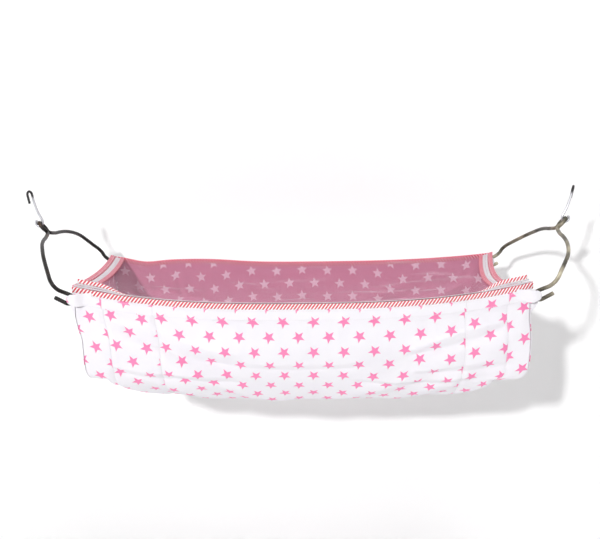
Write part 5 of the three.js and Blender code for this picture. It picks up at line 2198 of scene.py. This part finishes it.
@dataclass(frozen=True)
class Lamp:
    """A square area light that faces a point."""

    name: str
    place: tuple[float, float, float]
    aim: tuple[float, float, float]
    watts: float
    size: float

    def put_up(self) -> None:
        """Adds it to the scene, turned by its yaw and tilt."""
        lamp = bpy.data.lights.new(self.name, "AREA")
        lamp.energy = self.watts
        lamp.size = self.size
        stand = bpy.data.objects.new(self.name, lamp)
        bpy.context.scene.collection.objects.link(stand)
        stand.location = self.place
        away = np.array(self.place) - np.array(self.aim)
        yaw = math.atan2(away[0], -away[1])
        stand.rotation_euler = Euler((math.atan2(math.hypot(away[0], away[1]), away[2]), 0, yaw))
        stand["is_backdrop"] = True


@dataclass
class Studio:
    """A pale wall that sweeps down to a floor, shown white to the camera except for the shadow on it."""

    floor_level: float
    wall_back: float = 0.42
    lit: float = 0.07
    shadow_reach: float = 1.3
    fade: float = 0.8
    sky_light: float = 0.14
    focal_pixels: float = 1000.0
    pitch: float = 9.06
    roll: float = -0.51
    frame_width: int = 600
    eye: tuple[float, float, float] = (-0.00459, -2.13691, 0.16819)
    corner_radius: float = 0.25
    front_and_top: float = 4.0
    half_span: float = 6.0
    far_glow: float = 0.8
    lamps: tuple[Lamp, ...] = (
        Lamp("key", (-1.43, -5.1, 1.56), (0, 0, -0.25), 180, 0.19),
        Lamp("above", (0.5, -0.6, 2.0), (0.1, 0, -0.25), 22, 1.2),
        Lamp("side_left", (-2.6, -0.5, 0.3), (0, 0, -0.25), 4, 1.0),
        Lamp("side_right", (2.6, -0.5, 0.3), (0, 0, -0.25), 4, 1.0))

    def seen(self, graph: Graph) -> Tone:
        """1 on rays from the camera and on those that metal or glass sends back or on.

        Args:
            graph: the nodes it is for.

        Returns:
            The mask.
        """
        path = graph.node("ShaderNodeLightPath", {}, {}, "Is Camera Ray")
        outputs = path.socket.node.outputs
        ways = [Tone(graph, outputs[way]) for way in ("Is Glossy Ray", "Is Transmission Ray")]
        return path.most(ways[0]).most(ways[1])

    def backdrop(self) -> Piece:
        """Floor, quarter circle and wall as one profile along X, white far off and clear from behind.

        Returns:
            The piece.
        """
        radius, turn = self.corner_radius, np.linspace(0, math.pi / 2, 24)
        curve = spread(self.wall_back - radius * (1 - np.sin(turn)),
                       self.floor_level + radius * (1 - np.cos(turn)))
        ends = [[-self.front_and_top, self.floor_level]], [[self.wall_back, self.front_and_top]]
        profile = np.concatenate([ends[0], curve, ends[1]])
        points = spread(np.array([[-self.half_span], [self.half_span]]), profile[:, 0], profile[:, 1])
        sweep = Surface.piece("backdrop", points, np.zeros((2, len(profile), 2)))
        Surface.turned_out(sweep, np.array([0.0, -1.0, 1.0]))
        graph = Graph("backdrop_white")
        matt = graph.node("ShaderNodeBsdfDiffuse", {}, {"Color": (0.95, 0.95, 0.95, 1.0)})
        place = graph.node("ShaderNodeTexCoord", {}, {}, "Object")
        away = graph.node("ShaderNodeVectorMath", {"operation": "LENGTH"}, {0: place}, "Value")
        far = ((away - self.shadow_reach) / self.fade).held()
        strength = self.seen(graph) * (far * self.far_glow + self.lit)
        glow = graph.node("ShaderNodeEmission", {}, {"Color": (1.0, 1.0, 1.0, 1.0), "Strength": strength})
        front = graph.node("ShaderNodeAddShader", {}, {0: matt, 1: glow})
        clear = graph.node("ShaderNodeBsdfTransparent", {}, {})
        behind = graph.node("ShaderNodeNewGeometry", {}, {}, "Backfacing")
        graph.node_out(graph.node("ShaderNodeMixShader", {}, {0: behind, 1: front, 2: clear}))
        sweep.data.materials.append(graph.material)
        sweep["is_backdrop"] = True
        return sweep

    def sky(self) -> None:
        """An even white world, white to the camera and dimmer as a light."""
        world = bpy.data.worlds.new("studio")
        bpy.context.scene.world = world
        world.use_nodes = True
        graph = Graph("studio_sky", world.node_tree)
        seen = self.seen(graph)
        back = world.node_tree.nodes["Background"]
        strength = seen * (1.0 - self.sky_light) + self.sky_light
        world.node_tree.links.new(strength.socket, back.inputs["Strength"])
        back.inputs["Color"].default_value = (1, 1, 1, 1)

    def camera(self) -> None:
        """The camera of the photograph, its lens and place worked out from the tub's corners in the frame."""
        lens = bpy.data.cameras.new("camera")
        lens.sensor_width = 36.0
        lens.lens = self.focal_pixels * lens.sensor_width / self.frame_width
        stand = bpy.data.objects.new("camera", lens)
        bpy.context.scene.collection.objects.link(stand)
        stand.location = self.eye
        down, lean = math.radians(self.pitch), math.radians(self.roll)
        view = Euler((math.pi / 2 - down, 0, 0)).to_matrix() @ Euler((0, 0, lean)).to_matrix()
        stand.rotation_euler = view.to_euler()
        bpy.context.scene.camera = stand
        stand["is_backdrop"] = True

    def build(self) -> None:
        """Puts up the backdrop, the lights and the camera."""
        bpy.context.scene.view_settings.view_transform = "Standard"
        self.backdrop()
        self.sky()
        for lamp in self.lamps:
            lamp.put_up()
        self.camera()


def main() -> None:
    """Builds the cradle piece by piece and reports each."""
    logging.basicConfig(level=logging.INFO, format="%(message)s")
    print_cloth = StarPrint("star_print", plain(250, 248, 251), plain(242, 238, 246), plain(251, 136, 186),
                            0.060, 0.031, 0.0136, 0.0058,
                            breaks=((-0.392, 0.018, 0.011), (-0.293, 0.021, 0.006),
                                    (0.319, 0.013, 0.009), (0.402, 0.024, 0.013))).material()
    lining = StarPrint("pink_star_lining", plain(214, 126, 158), plain(206, 118, 150), plain(240, 200, 218),
                       0.060, 0.031, 0.0132, 0.0057).material()
    # The back's and the ends' bindings are the front's binding made darker and pinker, with more red: painted
    # shade.
    stripe, shaded_back_stripe, end_stripe = (
        BiasStripe(name, red, pale, 0.0068, -0.72, share).material() for name, red, pale, share in (
            ("striped_binding", plain(212, 34, 66), plain(255, 248, 248), 0.52),
            ("striped_binding_back", plain(194, 32, 72), plain(246, 196, 208), 0.66),
            ("striped_binding_ends", plain(178, 26, 62), plain(242, 186, 200), 0.64)))
    tape = ZipTape("zip_tape", plain(226, 220, 224), plain(198, 192, 200)).material()
    coil = Thread("zip_links", plain(232, 220, 228)).material()
    thread = Thread("thread", plain(246, 242, 246)).material()
    # The net's lavender grey is white netting darkened by painted shade.
    netting = Netting("netting", plain(206, 178, 200), 0.30, 0.18, 0.41).material()
    # Each rod's pale colour is a painted highlight.
    rod_left = CoatedRod("coated_rod_left", plain(22, 17, 15), plain(128, 98, 70), 0.16).material()
    rod_right = CoatedRod("coated_rod_right", plain(66, 62, 52), plain(190, 182, 160), 0.5).material()
    wire = DrawnWire("hook_wire", plain(150, 150, 156), plain(26, 24, 26), 0.085, 0.006).material()
    metal = CastMetal("slider_metal", plain(168, 166, 168)).material()
    tub = SewnTub(TUB, print_cloth, lining, thread).build()
    log.info("sewn tub: %d pieces", len(tub))
    rim = RimBindings(TUB, BAND, stripe, shaded_back_stripe, end_stripe, tape, coil, thread)
    log.info("rim: %d pieces", len(rim.build()))
    cover = NetCover(TUB, BAND, rim, netting)
    log.info("net cover: %d pieces", len(cover.build()))
    belts = [Belt(TUB, side, print_cloth, thread) for side in LONG_SIDES]
    for belt in belts:
        log.info("%s belt: %d pieces", belt.side.word, len(belt.build()))
    for end, rod in ((Side.LEFT, rod_left), (Side.RIGHT, rod_right)):
        log.info("%s bail: %d pieces", end.word, len(HungBail(TUB, end, belts[0], rod, wire).build()))
        log.info("%s slider: %d pieces", end.word, len(ZipSlider(BAND, rim, end, metal).build()))
    Studio(floor_level=float(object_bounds()[0].z) - 0.6).build()


if __name__ == "__main__":
    main()
